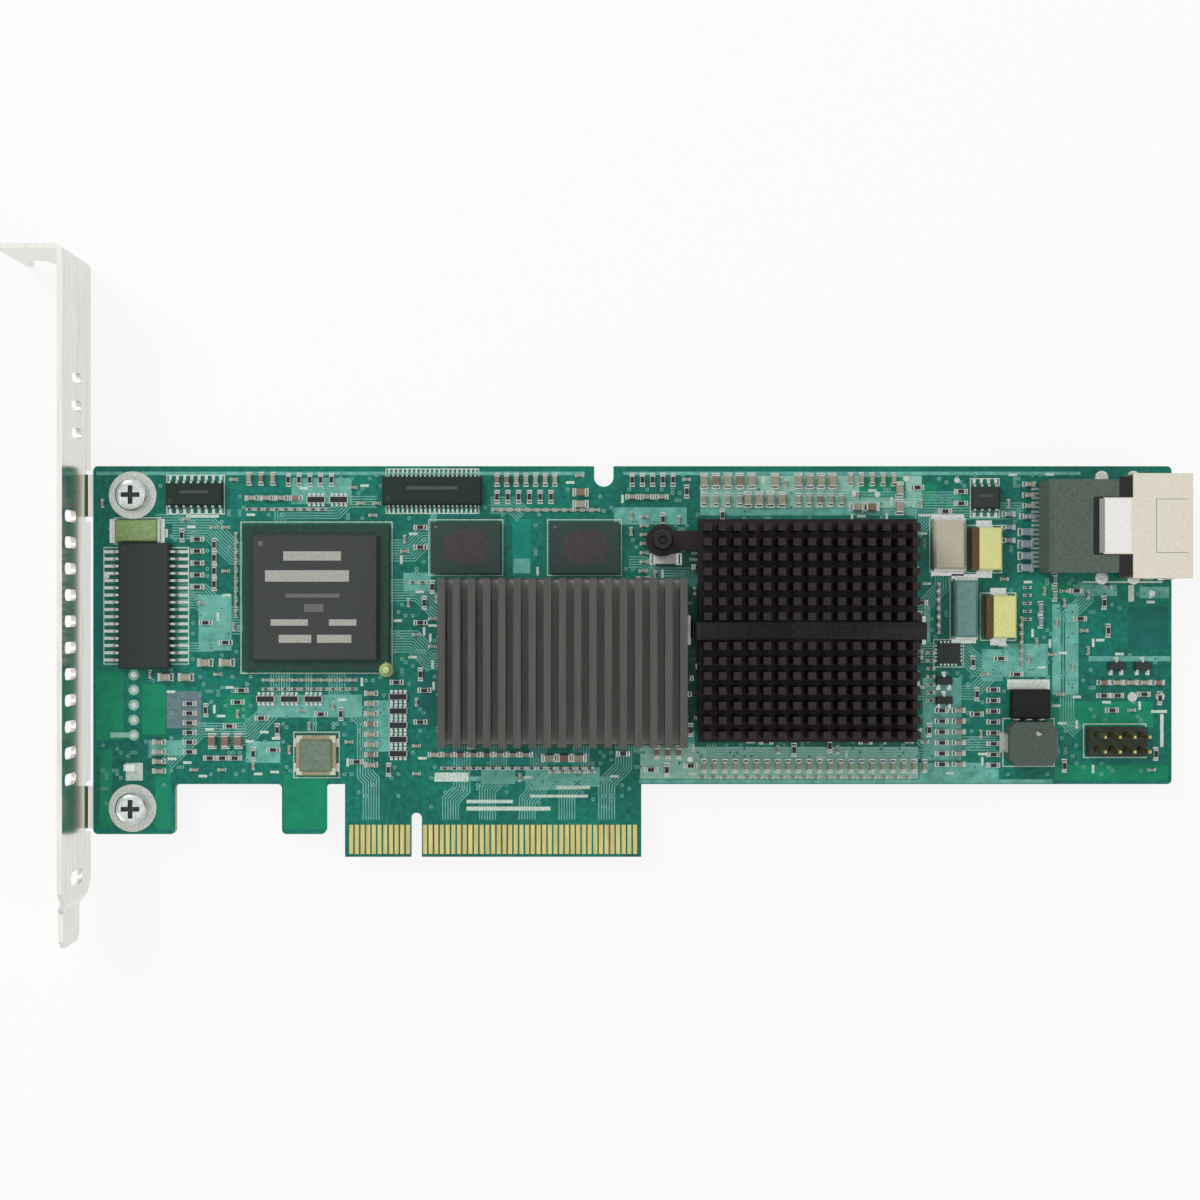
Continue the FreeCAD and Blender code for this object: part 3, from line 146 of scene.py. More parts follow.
def islands(node: str) -> list[Box]:
    """The boxes of a CAD node's separate solids, in millimetres.

    Args:
        node: the CAD node's name.

    Returns:
        Lowest and highest corner of each solid, ordered by place.
    """
    bm = bmesh.new()
    bm.from_mesh(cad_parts[node].data)
    bmesh.ops.remove_doubles(bm, verts=bm.verts, dist=MM / 1000)
    left = set(bm.verts)
    found = []
    while left:
        stack = [left.pop()]
        corners = []
        while stack:
            vert = stack.pop()
            corners.append(vert.co / MM)
            for edge in vert.link_edges:
                other = edge.other_vert(vert)
                if other in left:
                    left.remove(other)
                    stack.append(other)
        low = Vector([min(c[i] for c in corners) for i in range(3)])
        high = Vector([max(c[i] for c in corners) for i in range(3)])
        found.append((low, high))
    bm.free()
    return sorted(found, key=lambda pair: tuple(round(c, 2) for c in pair[0]))


def beside(points: list[Point], shift: float) -> list[Vector]:
    """A line moved sideways, with mitred corners.

    Args:
        points: the line's corners, in millimetres.
        shift: how far it moves to its left.

    Returns:
        The moved line's corners.
    """
    line = [Vector(p) for p in points]
    moved = []
    for i, at in enumerate(line):
        into = (at - line[i - 1]).normalized() if i else (line[1] - at).normalized()
        out = (line[i + 1] - at).normalized() if i + 1 < len(line) else into
        normal = Vector((-(into + out).y, (into + out).x)).normalized()
        moved.append(at + normal * (shift / max(normal.dot(Vector((-into.y, into.x))), 0.3)))
    return moved


# Heights of the board's two faces
BACK, FACE = (corner.z for corner in box_mm("circuit_board"))


# Finishes

@dataclass(frozen=True)
class Finish:
    """A surface with a fine grain in its colour, gloss and relief.

    The grain is a noise on Object coordinates, with its size in real millimetres.
    """

    name: str
    colour: str
    dark: str
    metallic: float = 0.0
    roughness: float = 0.5
    grain: float = 0.5
    stretch: Triple = (1.0, 1.0, 1.0)
    relief: float = 0.0
    gloss_span: float = 0.06
    specular: float = 0.5

    def colour_of(self, tree: bpy.types.NodeTree, coords: bpy.types.NodeSocket,
                  grain: bpy.types.NodeSocket) -> bpy.types.NodeSocket:
        """The colour over the surface, here two tones mixed by the grain."""
        return mixed(tree, grain, linear(self.dark), linear(self.colour))

    def material(self) -> bpy.types.Material:
        """The Blender material of this finish, made once.

        Returns:
            The material.
        """
        found = bpy.data.materials.get(self.name)
        if found:
            return found
        made = bpy.data.materials.new(self.name)
        made.use_nodes = True
        tree = made.node_tree
        tree.nodes.clear()
        coords = add(tree, "ShaderNodeTexCoord").outputs["Object"]
        turned = add(tree, "ShaderNodeMapping", {"Vector": coords, "Scale": self.stretch})
        noise = add(tree, "ShaderNodeTexNoise", {"Vector": turned.outputs[0], "Detail": 3.0,
                                                 "Scale": 1 / (self.grain * MM)})
        grain = add(tree, "ShaderNodeMapRange", {"Value": noise.outputs[0], "From Min": 0.3,
                                                 "From Max": 0.7})
        gloss = add(tree, "ShaderNodeMapRange", {
            "Value": grain.outputs[0], "To Min": self.roughness + self.gloss_span,
            "To Max": max(self.roughness - self.gloss_span, 0.02)})
        shader = add(tree, "ShaderNodeBsdfPrincipled", {
            "Base Color": self.colour_of(tree, coords, grain.outputs[0]),
            "Metallic": self.metallic, "Roughness": gloss.outputs[0],
            "Specular IOR Level": self.specular})
        if self.relief:
            bump = add(tree, "ShaderNodeBump", {"Height": grain.outputs[0], "Strength": 0.6,
                                                "Distance": self.relief * MM})
            tree.links.new(bump.outputs[0], shader.inputs["Normal"])
        add(tree, "ShaderNodeOutputMaterial", {"Surface": shader.outputs[0]})
        return made


@dataclass(frozen=True)
class SolderMask(Finish):
    """Green lacquer over glass laminate, which shows at the board's cut edges."""

    laminate: str = "7FA063"
    plane: float = 18.18

    def colour_of(self, tree: bpy.types.NodeTree, coords: bpy.types.NodeSocket,
                  grain: bpy.types.NodeSocket) -> bpy.types.NodeSocket:
        """Lacquer tones with broad inner planes below, and laminate on upright edges.

        Args:
            tree: the material's node tree.
            coords: where a point of the surface lies.
            grain: the fine noise, from nought to one.

        Returns:
            The socket that gives the colour.
        """
        tone = Finish.colour_of(self, tree, coords, grain)
        planes = add(tree, "ShaderNodeTexNoise", {"Vector": coords, "Detail": 1.0,
                                                  "Scale": 1 / (self.plane * MM)})
        depth = add(tree, "ShaderNodeMapRange", {"Value": planes.outputs[0], "From Min": 0.45,
                                                 "From Max": 0.55, "To Min": 0.86, "To Max": 1.06})
        shade = add(tree, "ShaderNodeVectorMath", {0: tone, "Scale": depth.outputs[0]},
                    operation="SCALE")
        normal = add(tree, "ShaderNodeNewGeometry").outputs["Normal"]
        parts = add(tree, "ShaderNodeSeparateXYZ", {0: normal})
        flat = calc(tree, "GREATER_THAN", calc(tree, "ABSOLUTE", parts.outputs["Z"]), 0.5)
        return mixed(tree, flat, linear(self.laminate), shade.outputs[0])


@dataclass(frozen=True)
class FinGrey(Finish):
    """Grey extrusion, lighter between its fins: painted light for the light that bounces about
    there.
    """

    # inner: the lighter tone deep between the fins, which is painted light
    inner: str = "959591"
    skin: float = 0.3

    def colour_of(self, tree: bpy.types.NodeTree, coords: bpy.types.NodeSocket,
                  grain: bpy.types.NodeSocket) -> bpy.types.NodeSocket:
        """Fin tones on the outer faces, and the inner tone, painted light for the light that
        bounces between the fins, on all that lies deeper.

        Args:
            tree: the material's node tree.
            coords: where a point of the surface lies.
            grain: the fine noise, from nought to one.

        Returns:
            The socket that gives the colour.
        """
        tone = Finish.colour_of(self, tree, coords, grain)
        place = add(tree, "ShaderNodeSeparateXYZ", {0: coords})
        low, high = box_mm("finned_heatsink")
        inside: Any = 1.0
        for axis in range(3):
            middle, reach = (low[axis] + high[axis]) / 2, (high[axis] - low[axis]) / 2 - self.skin
            near = calc(tree, "COMPARE", place.outputs[axis], middle * MM, reach * MM)
            inside = calc(tree, "MULTIPLY", near, inside)
        # The lighter tone on all that lies deeper than the skin is painted light
        return mixed(tree, inside, tone, linear(self.inner))


# Solder mask over glass laminate: a glossy teal green with slightly uneven depth
MASK = SolderMask("solder_mask_on_laminate", "0F806E", "0A6254", roughness=0.3, grain=0.9,
                  relief=0.004, specular=0.2)
# The same lacquer over copper: lighter and bluer, so that traces and planes stand out
MASK_ON_COPPER = Finish("solder_mask_on_copper", "7AB8AC", "5E9E93", roughness=0.32, grain=1.6,
                        specular=0.22)
# The lacquer over a wide copper plane: plain, even teal; one spot of it is a painted shadow beside
# the finned heat sink
MASK_ON_PLANE_AND_SHADOW = Finish("solder_mask_on_plane_and_painted_shadow", "076B61", "055E55", roughness=0.3, grain=3.0,
                       specular=0.22)
# Lacquer on bare laminate with no copper inside, as on the tabs: clear, bright green
MASK_BARE = Finish("solder_mask_bare_laminate", "088F6A", "067F5E", roughness=0.3, grain=2.0,
                   specular=0.22)
# Lacquer over a dense run of thin traces: pale grey-green
MASK_ON_BUS = Finish("solder_mask_on_bus", "76C2B2", "52998B", roughness=0.32, grain=1.5,
                     specular=0.22)
# The same lacquer over one inner copper layer: clear, bright teal
MASK_ON_LAYER = Finish("solder_mask_on_inner_layer", "0F8C7C", "0C7E70", roughness=0.3,
                       grain=2.0, specular=0.2)
# Lacquer over copper pads: pale green; beside the long capacitor rows the same tone is painted
# light, lifting the ground that the parts' shade darkens
MASK_ON_PAD_AND_PAINTED_LIGHT = Finish("solder_mask_on_pad_and_painted_light", "9CCDBB", "86B8A6", roughness=0.32, grain=0.8,
                     specular=0.3)
# A printed panel of thin ink through which the board shows: dull grey-blue
THIN_INK = Finish("thin_grey_ink", "6C8488", "5A7276", roughness=0.5, grain=0.9, specular=0.3)
# Screen-printed epoxy ink: chalky white with thin spots
SILKSCREEN = Finish("silkscreen_ink", "DDE6DC", "A9C4B4", roughness=0.7, grain=0.35)
# Tin-silver solder: bright, softly pitted
SOLDER = Finish("reflowed_solder", "D0D4D0", "A9ADAA", metallic=1.0, roughness=0.28, grain=0.3,
                relief=0.02)
# Electroplated tin on end caps and leads: satin, pale grey
TIN = Finish("plated_tin", "C6CAC5", "A3A8A3", metallic=1.0, roughness=0.34, grain=0.25,
             relief=0.01)
# Hard gold over nickel: pale brass yellow, fine scratches along the fingers
GOLD = Finish("hard_gold_plating", "D2C683", "B4A86C", metallic=1.0, roughness=0.27, grain=0.5,
              stretch=(1.0, 0.08, 1.0), relief=0.006)
# Nickel-plated cold-rolled steel: pale and warm, faint rolling lines along the plate
NICKEL = Finish("nickel_on_rolled_steel", "E6E3DE", "D6D3CD", metallic=1.0, roughness=0.21,
                grain=0.6, stretch=(1.0, 0.05, 1.0), relief=0.002, gloss_span=0.03)
# Zinc-plated screws: bluish bright metal with a cloudy passivation
ZINC = Finish("zinc_on_steel", "D3DAD7", "B4BCB9", metallic=1.0, roughness=0.25, grain=0.8,
              relief=0.006)
# Stamped and plated connector shell: beige-silver, satin
SHELL = Finish("plated_brass_shell", "DAD5C7", "CEC8BA", metallic=1.0, roughness=0.34, grain=0.4,
               relief=0.004)
# Extruded aluminium, grey anodised: dull, with die lines along the fins, and painted light in the
# hollows between them
GREY_ANODISED = FinGrey("grey_anodised_extrusion", "545451", "494946", metallic=0.2,
                        roughness=0.5, grain=0.35, stretch=(1.0, 0.03, 1.0), relief=0.01,
                        specular=0.4)
# Forged aluminium, black anodised: deep brown-black, evenly matt
BLACK_ANODISED = Finish("black_anodised_forging", "2A2021", "1A1415", metallic=0.2,
                        roughness=0.5, grain=0.3, relief=0.01, specular=0.3)
# Blued spring steel: near black with a soft shine
SPRING_STEEL = Finish("blued_spring_steel", "2A2829", "1C1A1B", metallic=0.7, roughness=0.4,
                      grain=0.5, relief=0.004)
# Music wire of the push pin's spring: drawn steel
WIRE = Finish("drawn_steel_wire", "A9A7A2", "858380", metallic=1.0, roughness=0.3, grain=0.2)
# Epoxy moulding compound of chips: dark warm grey, finely sparked by the mould
MOULD = Finish("epoxy_mould_compound", "2C3531", "242B28", roughness=0.55, grain=0.22,
               relief=0.012, specular=0.3)
# A greener grade of it, on the logic chip and the bus driver
MOULD_GREEN = Finish("green_black_mould_compound", "1A2D23", "15241C", roughness=0.55,
                     grain=0.22, relief=0.02, specular=0.25)
# The regulator's compound: nearly black
MOULD_BLACK = Finish("black_mould_compound", "171C18", "101410", roughness=0.55, grain=0.22,
                     relief=0.012, specular=0.2)
# Moulding compound of the ball-grid chips: browner and a little lighter
MOULD_BROWN = Finish("brown_mould_compound", "3C403F", "333736", roughness=0.5, grain=0.3,
                     relief=0.01, specular=0.3)
# A browner shade of it where the mould flowed last
MOULD_TINT = Finish("brown_mould_flow", "463A30", "3D332C", roughness=0.5, grain=0.3, relief=0.01,
                    specular=0.3)
# Memory chips' compound: dark green-grey, as if tinted by the board around it
MOULD_MEMORY = Finish("memory_chip_compound", "2C4440", "253A36", roughness=0.5, grain=0.4,
                      relief=0.01, specular=0.3)
# The reddish worn patch in the middle of a memory chip
MEMORY_WEAR = Finish("memory_wear_patch", "453D3F", "3A3637", roughness=0.5, grain=0.8,
                     specular=0.3)
# What is left of a worn print on the smaller chips
WORN_MARK = Finish("worn_print", "4E534F", "414643", roughness=0.6, grain=0.3, specular=0.3)
# Laser mark or ink on a chip: light grey and thin, and what is left of a worn one
CHIP_MARK = Finish("chip_marking_ink", "B9B8B0", "97968F", roughness=0.6, grain=0.3)
FAINT_MARK = Finish("worn_chip_marking", "6F6C69", "5B5957", roughness=0.6, grain=0.3)
# Ball-grid substrate: green mask on a thin laminate
SUBSTRATE = Finish("green_package_laminate", "1F4536", "19382C", roughness=0.4, grain=0.8,
                   specular=0.28)
# Silicone gap pad: matt pale grey
PAD_RUBBER = Finish("silicone_thermal_pad", "9A9C9A", "888A88", roughness=0.8, grain=0.4)
# Glass-filled nylon housing of the receptacle: dark greenish grey, satin
HOUSING = Finish("glass_filled_nylon", "57685D", "48564E", roughness=0.5, grain=0.5,
                 relief=0.015, specular=0.3)
# Black thermoplastic of the header: greenish black, satin
BLACK_PLASTIC = Finish("black_thermoplastic_satin", "2F372C", "21281F", roughness=0.45, grain=0.35,
                       relief=0.01, specular=0.3)
# White liquid-crystal polymer of the receptacle's latch plate: even, satin
WHITE_PLASTIC = Finish("white_polymer", "F5F3EF", "EBE9E5", roughness=0.45, grain=0.5,
                       relief=0.004)
# Pressed ferrite of the inductor: rough greenish grey
FERRITE = Finish("pressed_ferrite", "535D55", "434E47", roughness=0.6, grain=0.5, relief=0.03,
                 specular=0.3)
# Tantalum capacitor resin: opaque yellow
TANTALUM = Finish("yellow_resin", "DEDF98", "D3D184", roughness=0.45, grain=0.5, relief=0.006)
# The dark polarity band printed on it, drawn wider so that it also serves as painted shade on the
# capacitor's left side
POLARITY_AND_SHADE = Finish("polarity_band_and_painted_shade", "5A3C12", "3F2A10", roughness=0.5, grain=0.4)
# Film capacitor block: beige, with fine lines of the stacked film
FILM = Finish("stacked_film_beige", "BFB8A3", "B4AD99", roughness=0.5, grain=0.35,
              stretch=(1.0, 0.3, 1.0), relief=0.004)
# Grey-blue glazed ceramic of the choke
CHOKE = Finish("grey_blue_ceramic", "6A958F", "5A817B", roughness=0.4, grain=0.6, relief=0.01)
# Olive cover of the resettable fuse
FUSE = Finish("olive_fuse_cover", "8FAA6C", "77915A", roughness=0.45, grain=0.6, relief=0.01)
# Multilayer ceramic of chip capacitors: warm tan-grey, fired
CERAMIC = Finish("fired_capacitor_ceramic", "A6A491", "8C8A78", roughness=0.5, grain=0.2,
                 relief=0.01, specular=0.3)
# A bluish-grey batch of the same capacitors
BLUE_CERAMIC = Finish("grey_capacitor_ceramic", "8F9DA8", "76848F", roughness=0.5, grain=0.2,
                      relief=0.01, specular=0.3)
# A brown batch of them
BROWN_CERAMIC = Finish("brown_capacitor_ceramic", "8E7767", "776355", roughness=0.5, grain=0.2,
                       relief=0.01, specular=0.3)
# Resistors: black glass on a white alumina chip
GLASS_BLACK = Finish("black_resistor_glass", "22282A", "181C1E", roughness=0.3, grain=0.2,
                     specular=0.3)
# The alumina itself: chalk white, at the sides of the glass
ALUMINA = Finish("white_alumina", "E4E4DE", "CFCFC9", roughness=0.5, grain=0.2)
# Kovar lid of the oscillator: dull grey-green
KOVAR = Finish("dull_kovar_lid", "778A76", "647462", metallic=0.3, roughness=0.45, grain=0.6,
               specular=0.3)
# The four soldered corners of the oscillator, pale with flux
CORNER = Finish("castellated_corner", "D4D6BE", "BDBFA6", metallic=0.3, roughness=0.4, grain=0.3)
# Corner bond: a drop of pale yellow-green adhesive
ADHESIVE = Finish("corner_bond_adhesive", "CFDE9E", "B9CB88", roughness=0.35, grain=0.8)
# Fired ceramic base of the oscillator: dull tan
PACKAGE_CERAMIC = Finish("package_ceramic", "A79C80", "8F8569", roughness=0.5, grain=0.4)
# Lens of the status light: nearly white, glossy
LENS = Finish("clear_lens", "F8FCF6", "EEF6EC", roughness=0.15, grain=0.5)
# Painted shade: a dark floor in a screw's cross recess
RECESS_SHADE = Finish("screw_recess_painted_shade", "3C4442", "2C3332", metallic=0.4, roughness=0.5, grain=0.3)
# Nylon push pin: nearly black
NYLON = Finish("black_nylon_pin", "1D1716", "140F0F", roughness=0.4, grain=0.4, specular=0.3)
# Painted shade in the bores of vias and drilled pads: a dark disc where the hole is
BORE_SHADE = Finish("drilled_bore_painted_shade", "0B2A25", "07201C", roughness=0.7, grain=0.3)


class Slot(Enum):
    """Material slots of the record, named on new pieces."""

    MASK = "solder_masked_board"
    TIN = "tin_plating"
    SOLDER = "solder"
    GOLD = "gold_plating"
    MOULD = "mould_compound"
    CERAMIC = "capacitor_ceramic"
    GLASS = "resistor_glass"
    ZINC = "zinc_plated_steel"
    SHELL = "shell_nickel"
    BLACK = "black_thermoplastic"


# Pieces

class Piece:
    """A new mesh of the object, modelled in millimetres with bmesh operators."""

    def __init__(self, name: str, *finishes: Finish, slot: Slot | None = None,
                 replaces: tuple[str, ...] = ()) -> None:
        """Start an empty piece.

        Args:
            name: the piece's name.
            *finishes: its finishes, in the order of the faces' material numbers.
            slot: the record's slot; not used.
            replaces: CAD nodes that it stands for.
        """
        self.name = name
        self.finishes = finishes
        self.slot = slot
        self.replaced = replaces
        self.bm = bmesh.new()

    def _number(self, verts: list[bmesh.types.BMVert], finish: int) -> None:
        """Give the faces of new vertices their material number.

        Args:
            verts: the new vertices.
            finish: material number.
        """
        for vert in verts:
            for face in vert.link_faces:
                face.material_index = finish

    def cube(self, place: Matrix, finish: int) -> list[bmesh.types.BMVert]:
        """Add a cube of 1 mm that a matrix puts in place.

        Args:
            place: scales, turns and moves the cube.
            finish: material number.

        Returns:
            The cube's vertices.
        """
        verts = bmesh.ops.create_cube(self.bm, size=1.0, matrix=place)["verts"]
        self._number(verts, finish)
        return verts

    def block(self, centre: Triple, size: Triple, finish: int = 0,
              bevel: float = 0.0) -> list[bmesh.types.BMVert]:
        """Add a box whose bottom face is centred on a place.

        Args:
            centre: x, y of the middle and z of the bottom.
            size: lengths along x, y and z.
            finish: material number.
            bevel: width of the bevelled edges, if any.

        Returns:
            The new vertices, or none if the edges were bevelled.
        """
        verts = self.cube(Matrix.Translation((centre[0], centre[1], centre[2] + size[2] / 2))
                          @ Matrix.Diagonal((*size, 1.0)), finish)
        if bevel:
            edges = list(dict.fromkeys(edge for vert in verts for edge in vert.link_edges))
            bmesh.ops.bevel(self.bm, geom=edges, offset=bevel, offset_type="OFFSET", segments=1,
                            profile=0.5, affect="EDGES", clamp_overlap=True, material=-1)
            return []
        return verts

    def rod(self, centre: Triple, radius: float, height: float, finish: int = 0, sides: int = 16,
            top: float | None = None) -> None:
        """Add an upright cylinder or cone.

        Args:
            centre: the middle of its lower end.
            radius: radius at the lower end.
            height: how tall it is.
            finish: material number.
            sides: number of flats round it.
            top: radius at the upper end, if it differs.
        """
        place = Matrix.Translation(centre) @ Matrix.Translation((0, 0, height / 2))
        verts = bmesh.ops.create_cone(
            self.bm, cap_ends=True, segments=sides, radius1=radius,
            radius2=radius if top is None else top, depth=height, matrix=place)["verts"]
        self._number(verts, finish)

    def ring(self, centre: Triple, inner: float, outer: float, height: float, finish: int = 0,
             sides: int = 24) -> None:
        """Add a flat ring round a place, made by a full spin of its section."""
        section = [(inner, 0.0), (outer, 0.0), (outer, height), (inner, height)]
        self.spin(section, centre, finish, sides)

    def spin(self, section: list[Point], centre: Triple, finish: int = 0, sides: int = 24) -> None:
        """Turn a closed section a full turn round a vertical axis.

        Args:
            section: radius and height of its corners.
            centre: the place of radius and height nought.
            finish: material number.
            sides: number of flats round it.
        """
        before = set(self.bm.faces)
        verts = [self.bm.verts.new((centre[0] + r, centre[1], centre[2] + z)) for r, z in section]
        face = self.bm.faces.new(verts)
        bmesh.ops.spin(self.bm, geom=[face, *face.edges, *face.verts], cent=centre,
                       axis=(0, 0, 1), dvec=(0, 0, 0), angle=math.tau, steps=sides,
                       use_merge=True, use_duplicate=False)
        fresh = [f for f in self.bm.faces if f not in before]
        bmesh.ops.remove_doubles(self.bm, dist=0.0005,
                                 verts=list(dict.fromkeys(v for f in fresh for v in f.verts)))
        kept = [f for f in fresh if f.is_valid]
        for f in kept:
            f.material_index = finish
        bmesh.ops.recalc_face_normals(self.bm, faces=kept)

    def ribbon(self, points: list[Point], width: float, z: float, thick: float,
               finish: int = 0) -> None:
        """Add a flat strip that follows a line, with mitred corners.

        Args:
            points: the line's corners.
            width: the strip's width.
            z: height of its lower face.
            thick: how thick it is.
            finish: material number.
        """
        pairs = [[self.bm.verts.new((*at, z)) for at in pair]
                 for pair in zip(beside(points, width / 2), beside(points, -width / 2))]
        faces = [self.bm.faces.new((one[1], two[1], two[0], one[0]))
                 for one, two in zip(pairs, pairs[1:])]
        self.raise_faces(faces, thick, finish)

    def raise_faces(self, faces: list[bmesh.types.BMFace], thick: float, finish: int) -> None:
        """Extrude flat faces upwards into a closed solid.

        Args:
            faces: the flat faces, listed against the clock.
            thick: how far they rise.
            finish: material number.
        """
        for face in faces:
            face.material_index = finish
        lifted = bmesh.ops.extrude_face_region(self.bm, geom=faces, use_keep_orig=True)["geom"]
        verts = [g for g in lifted if isinstance(g, bmesh.types.BMVert)]
        bmesh.ops.translate(self.bm, vec=(0, 0, thick), verts=verts)
        for face in faces:
            face.normal_flip()
        self._number(verts, finish)

    def sheet(self, rect: Rect, z: float, thick: float, finish: int = 0) -> None:
        """Add a flat rectangle from its lowest and highest x and y."""
        x0, y0, x1, y1 = rect
        self.area([(x0, y0), (x1, y0), (x1, y1), (x0, y1)], z, thick, finish)

    def area(self, outline: list[Point], z: float, thick: float, finish: int = 0) -> None:
        """Add a flat area of a closed outline, listed against the clock."""
        face = self.bm.faces.new([self.bm.verts.new((x, y, z)) for x, y in outline])
        self.raise_faces([face], thick, finish)

    def stamp(self, template: bpy.types.Mesh, place: Matrix) -> None:
        """Add a copy of a template mesh at a place.

        Args:
            template: the mesh to copy, in millimetres.
            place: where the copy goes.
        """
        start = len(self.bm.verts)
        self.bm.from_mesh(template)
        self.bm.verts.ensure_lookup_table()
        bmesh.ops.transform(self.bm, matrix=place, verts=self.bm.verts[start:])

    def template(self) -> bpy.types.Mesh:
        """This piece's mesh as it is, to be stamped into others.

        Returns:
            The mesh, in millimetres.
        """
        mesh = bpy.data.meshes.new(self.name + "_template")
        self.bm.to_mesh(mesh)
        self.bm.free()
        return mesh

    def finish(self, smooth: bool = False) -> bpy.types.Object:
        """Scale the mesh to metres, make its object and let it ride on the card.

        Args:
            smooth: whether its faces are shaded smooth.

        Returns:
            The new object.
        """
        bmesh.ops.scale(self.bm, vec=(MM, MM, MM), verts=self.bm.verts)
        mesh = bpy.data.meshes.new(self.name)
        self.bm.to_mesh(mesh)
        self.bm.free()
        for finish in self.finishes:
            mesh.materials.append(finish.material())
        for face in mesh.polygons:
            face.use_smooth = smooth
        made = bpy.data.objects.new(self.name, mesh)
        bpy.context.scene.collection.objects.link(made)
        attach(made, ROOT)
        if self.replaced:
            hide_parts(*self.replaced)
        log.info("%s: %d faces", self.name, len(mesh.polygons))
        return made


def ball(radius: float, around: int, up: int, squash: float = 1.0) -> bpy.types.Mesh:
    """A solder ball, to be stamped into pieces.

    Args:
        radius: the ball's radius.
        around: how many faces go round it.
        up: how many rings of faces it has.
        squash: its height as a share of its width.

    Returns:
        The template mesh.
    """
    piece = Piece("ball")
    bmesh.ops.create_uvsphere(piece.bm, u_segments=around, v_segments=up, radius=radius)
    bmesh.ops.scale(piece.bm, vec=(1, 1, squash), verts=piece.bm.verts)
    return piece.template()


def dress(finish: Finish, *nodes: str) -> None:
    """Give CAD nodes a finish, with their shape left as it is.

    Args:
        finish: the finish to give.
        *nodes: the CAD nodes' names.
    """
    for name in nodes:
        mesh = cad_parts[name].data
        mesh.materials.clear()
        mesh.materials.append(finish.material())
        log.info("%s: %s", name, finish.name)


def turned(box: Box) -> bool:
    """Whether a part's box is longer along Y than along X."""
    size = box[1] - box[0]
    return size.y > size.x


def over(box: Box, z: float) -> Matrix:
    """The place of a template that is centred on a box and turned with it.

    Args:
        box: the box of the part that it stands for.
        z: height of its foot.

    Returns:
        The matrix that puts the template there.
    """
    middle = (box[0] + box[1]) / 2
    angle = math.pi / 2 if turned(box) else 0.0
    return Matrix.Translation((middle.x, middle.y, z)) @ Matrix.Rotation(angle, 4, "Z")


def flipped(box: Box, z: float) -> Matrix:
    """The place of a template that hangs under the board."""
    return over(box, z) @ Matrix.Rotation(math.pi, 4, "X")


# Places on the component side

@dataclass
class Layout:
    """The places on the component side that pieces already take.

    Below its foot the board has only its tab, and the field between chips and fingers.
    """

    taken: list[Rect]
    low: Vector
    high: Vector
    rim: float = 1.0
    foot: float = 14.0
    tab_end: float = -43.5
    tab_foot: float = 5.2
    field: tuple[float, float] = (-11.0, 38.0)
    field_foot: float = 8.2
    key: float = 2.0
    notch: float = 33.0
    notch_reach: float = 3.0
    notch_foot: float = 64.0

    @classmethod
    def of_card(cls) -> "Layout":
        """Start with the CAD pieces that touch the board, and the areas kept bare.

        Returns:
            The layout with these places taken.
        """
        layout = cls([], *box_mm("circuit_board"))
        for name in ("processor_substrate", "bridge_chip", "controller_chip", "flash_memory_leads",
                     "logic_chip_leads", "bus_driver_leads", "monitor_chip_leads",
                     "receptacle_housing", "receptacle_shell", "pin_header_base",
                     "power_inductor", "regulator_body", "regulator_tab", "clock_buffer",
                     "tantalum_capacitor_upper", "tantalum_capacitor_lower", "film_capacitor",
                     "filter_choke", "oscillator_base", "resettable_fuse", "memory_chip_left",
                     "memory_chip_right", "heatsink_push_pin"):
            layout.take(box_mm(name), 0.7)
        for name in SCREWS:
            layout.take(box_mm(name), 1.6)
        for node in ("chip_capacitors_medium", "chip_capacitors_large", "resistor_arrays",
                     "small_transistors", "clip_anchors", "receptacle_solder_tails"):
            for box in islands(node):
                layout.take(box, 0.45)
        for rect in ((125.0, 36.5, 132.6, 44.3), (-56.4, 20.0, -48.4, 33.2),
                     (-48.4, 21.4, -44.0, 30.6), (16.6, 49.4, 20.5, 60.0),
                     (21.8, 49.4, 24.8, 60.0), (-51.7, 13.0, -47.8, 17.1)):
            layout.keep(rect, 0.0)
        return layout

    def keep(self, rect: Rect, margin: float) -> None:
        """Keep a rectangle and a margin round it for a piece."""
        x0, y0, x1, y1 = rect
        self.taken.append((x0 - margin, y0 - margin, x1 + margin, y1 + margin))

    def take(self, box: Box, margin: float = 0.35) -> None:
        """Keep the place of a box, as seen from above."""
        low, high = box
        self.keep((low.x, low.y, high.x, high.y), margin)

    def free(self, x: float, y: float, reach_x: float, reach_y: float) -> bool:
        """Whether the place is bare board for a piece that reaches out to both sides.

        Args:
            x: the piece's middle.
            y: the piece's middle.
            reach_x: half its length along X.
            reach_y: half its length along Y.

        Returns:
            True if nothing is there and no edge of the board is near.
        """
        left, right, bottom = x - reach_x, x + reach_x, y - reach_y
        if not self.low.x + self.rim + reach_x < x < self.high.x - self.rim - reach_x:
            return False
        if y + reach_y > self.high.y - self.rim:
            return False
        if bottom < self.foot:
            on_tab = right < self.tab_end and bottom > self.tab_foot
            on_field = (self.field[0] < left and right < self.field[1]
                        and bottom > self.field_foot and abs(x) > self.key + reach_x)
            if not (on_tab or on_field):
                return False
        if abs(x - self.notch) < self.notch_reach + reach_x and y + reach_y > self.notch_foot:
            return False
        return not any(a < right and left < c and b < y + reach_y and bottom < d
                       for a, b, c, d in self.taken)


# Chip parts

class Body(Enum):
    """What stands between the two end caps of a chip part."""

    CAPACITOR = "capacitor"
    RESISTOR = "resistor"


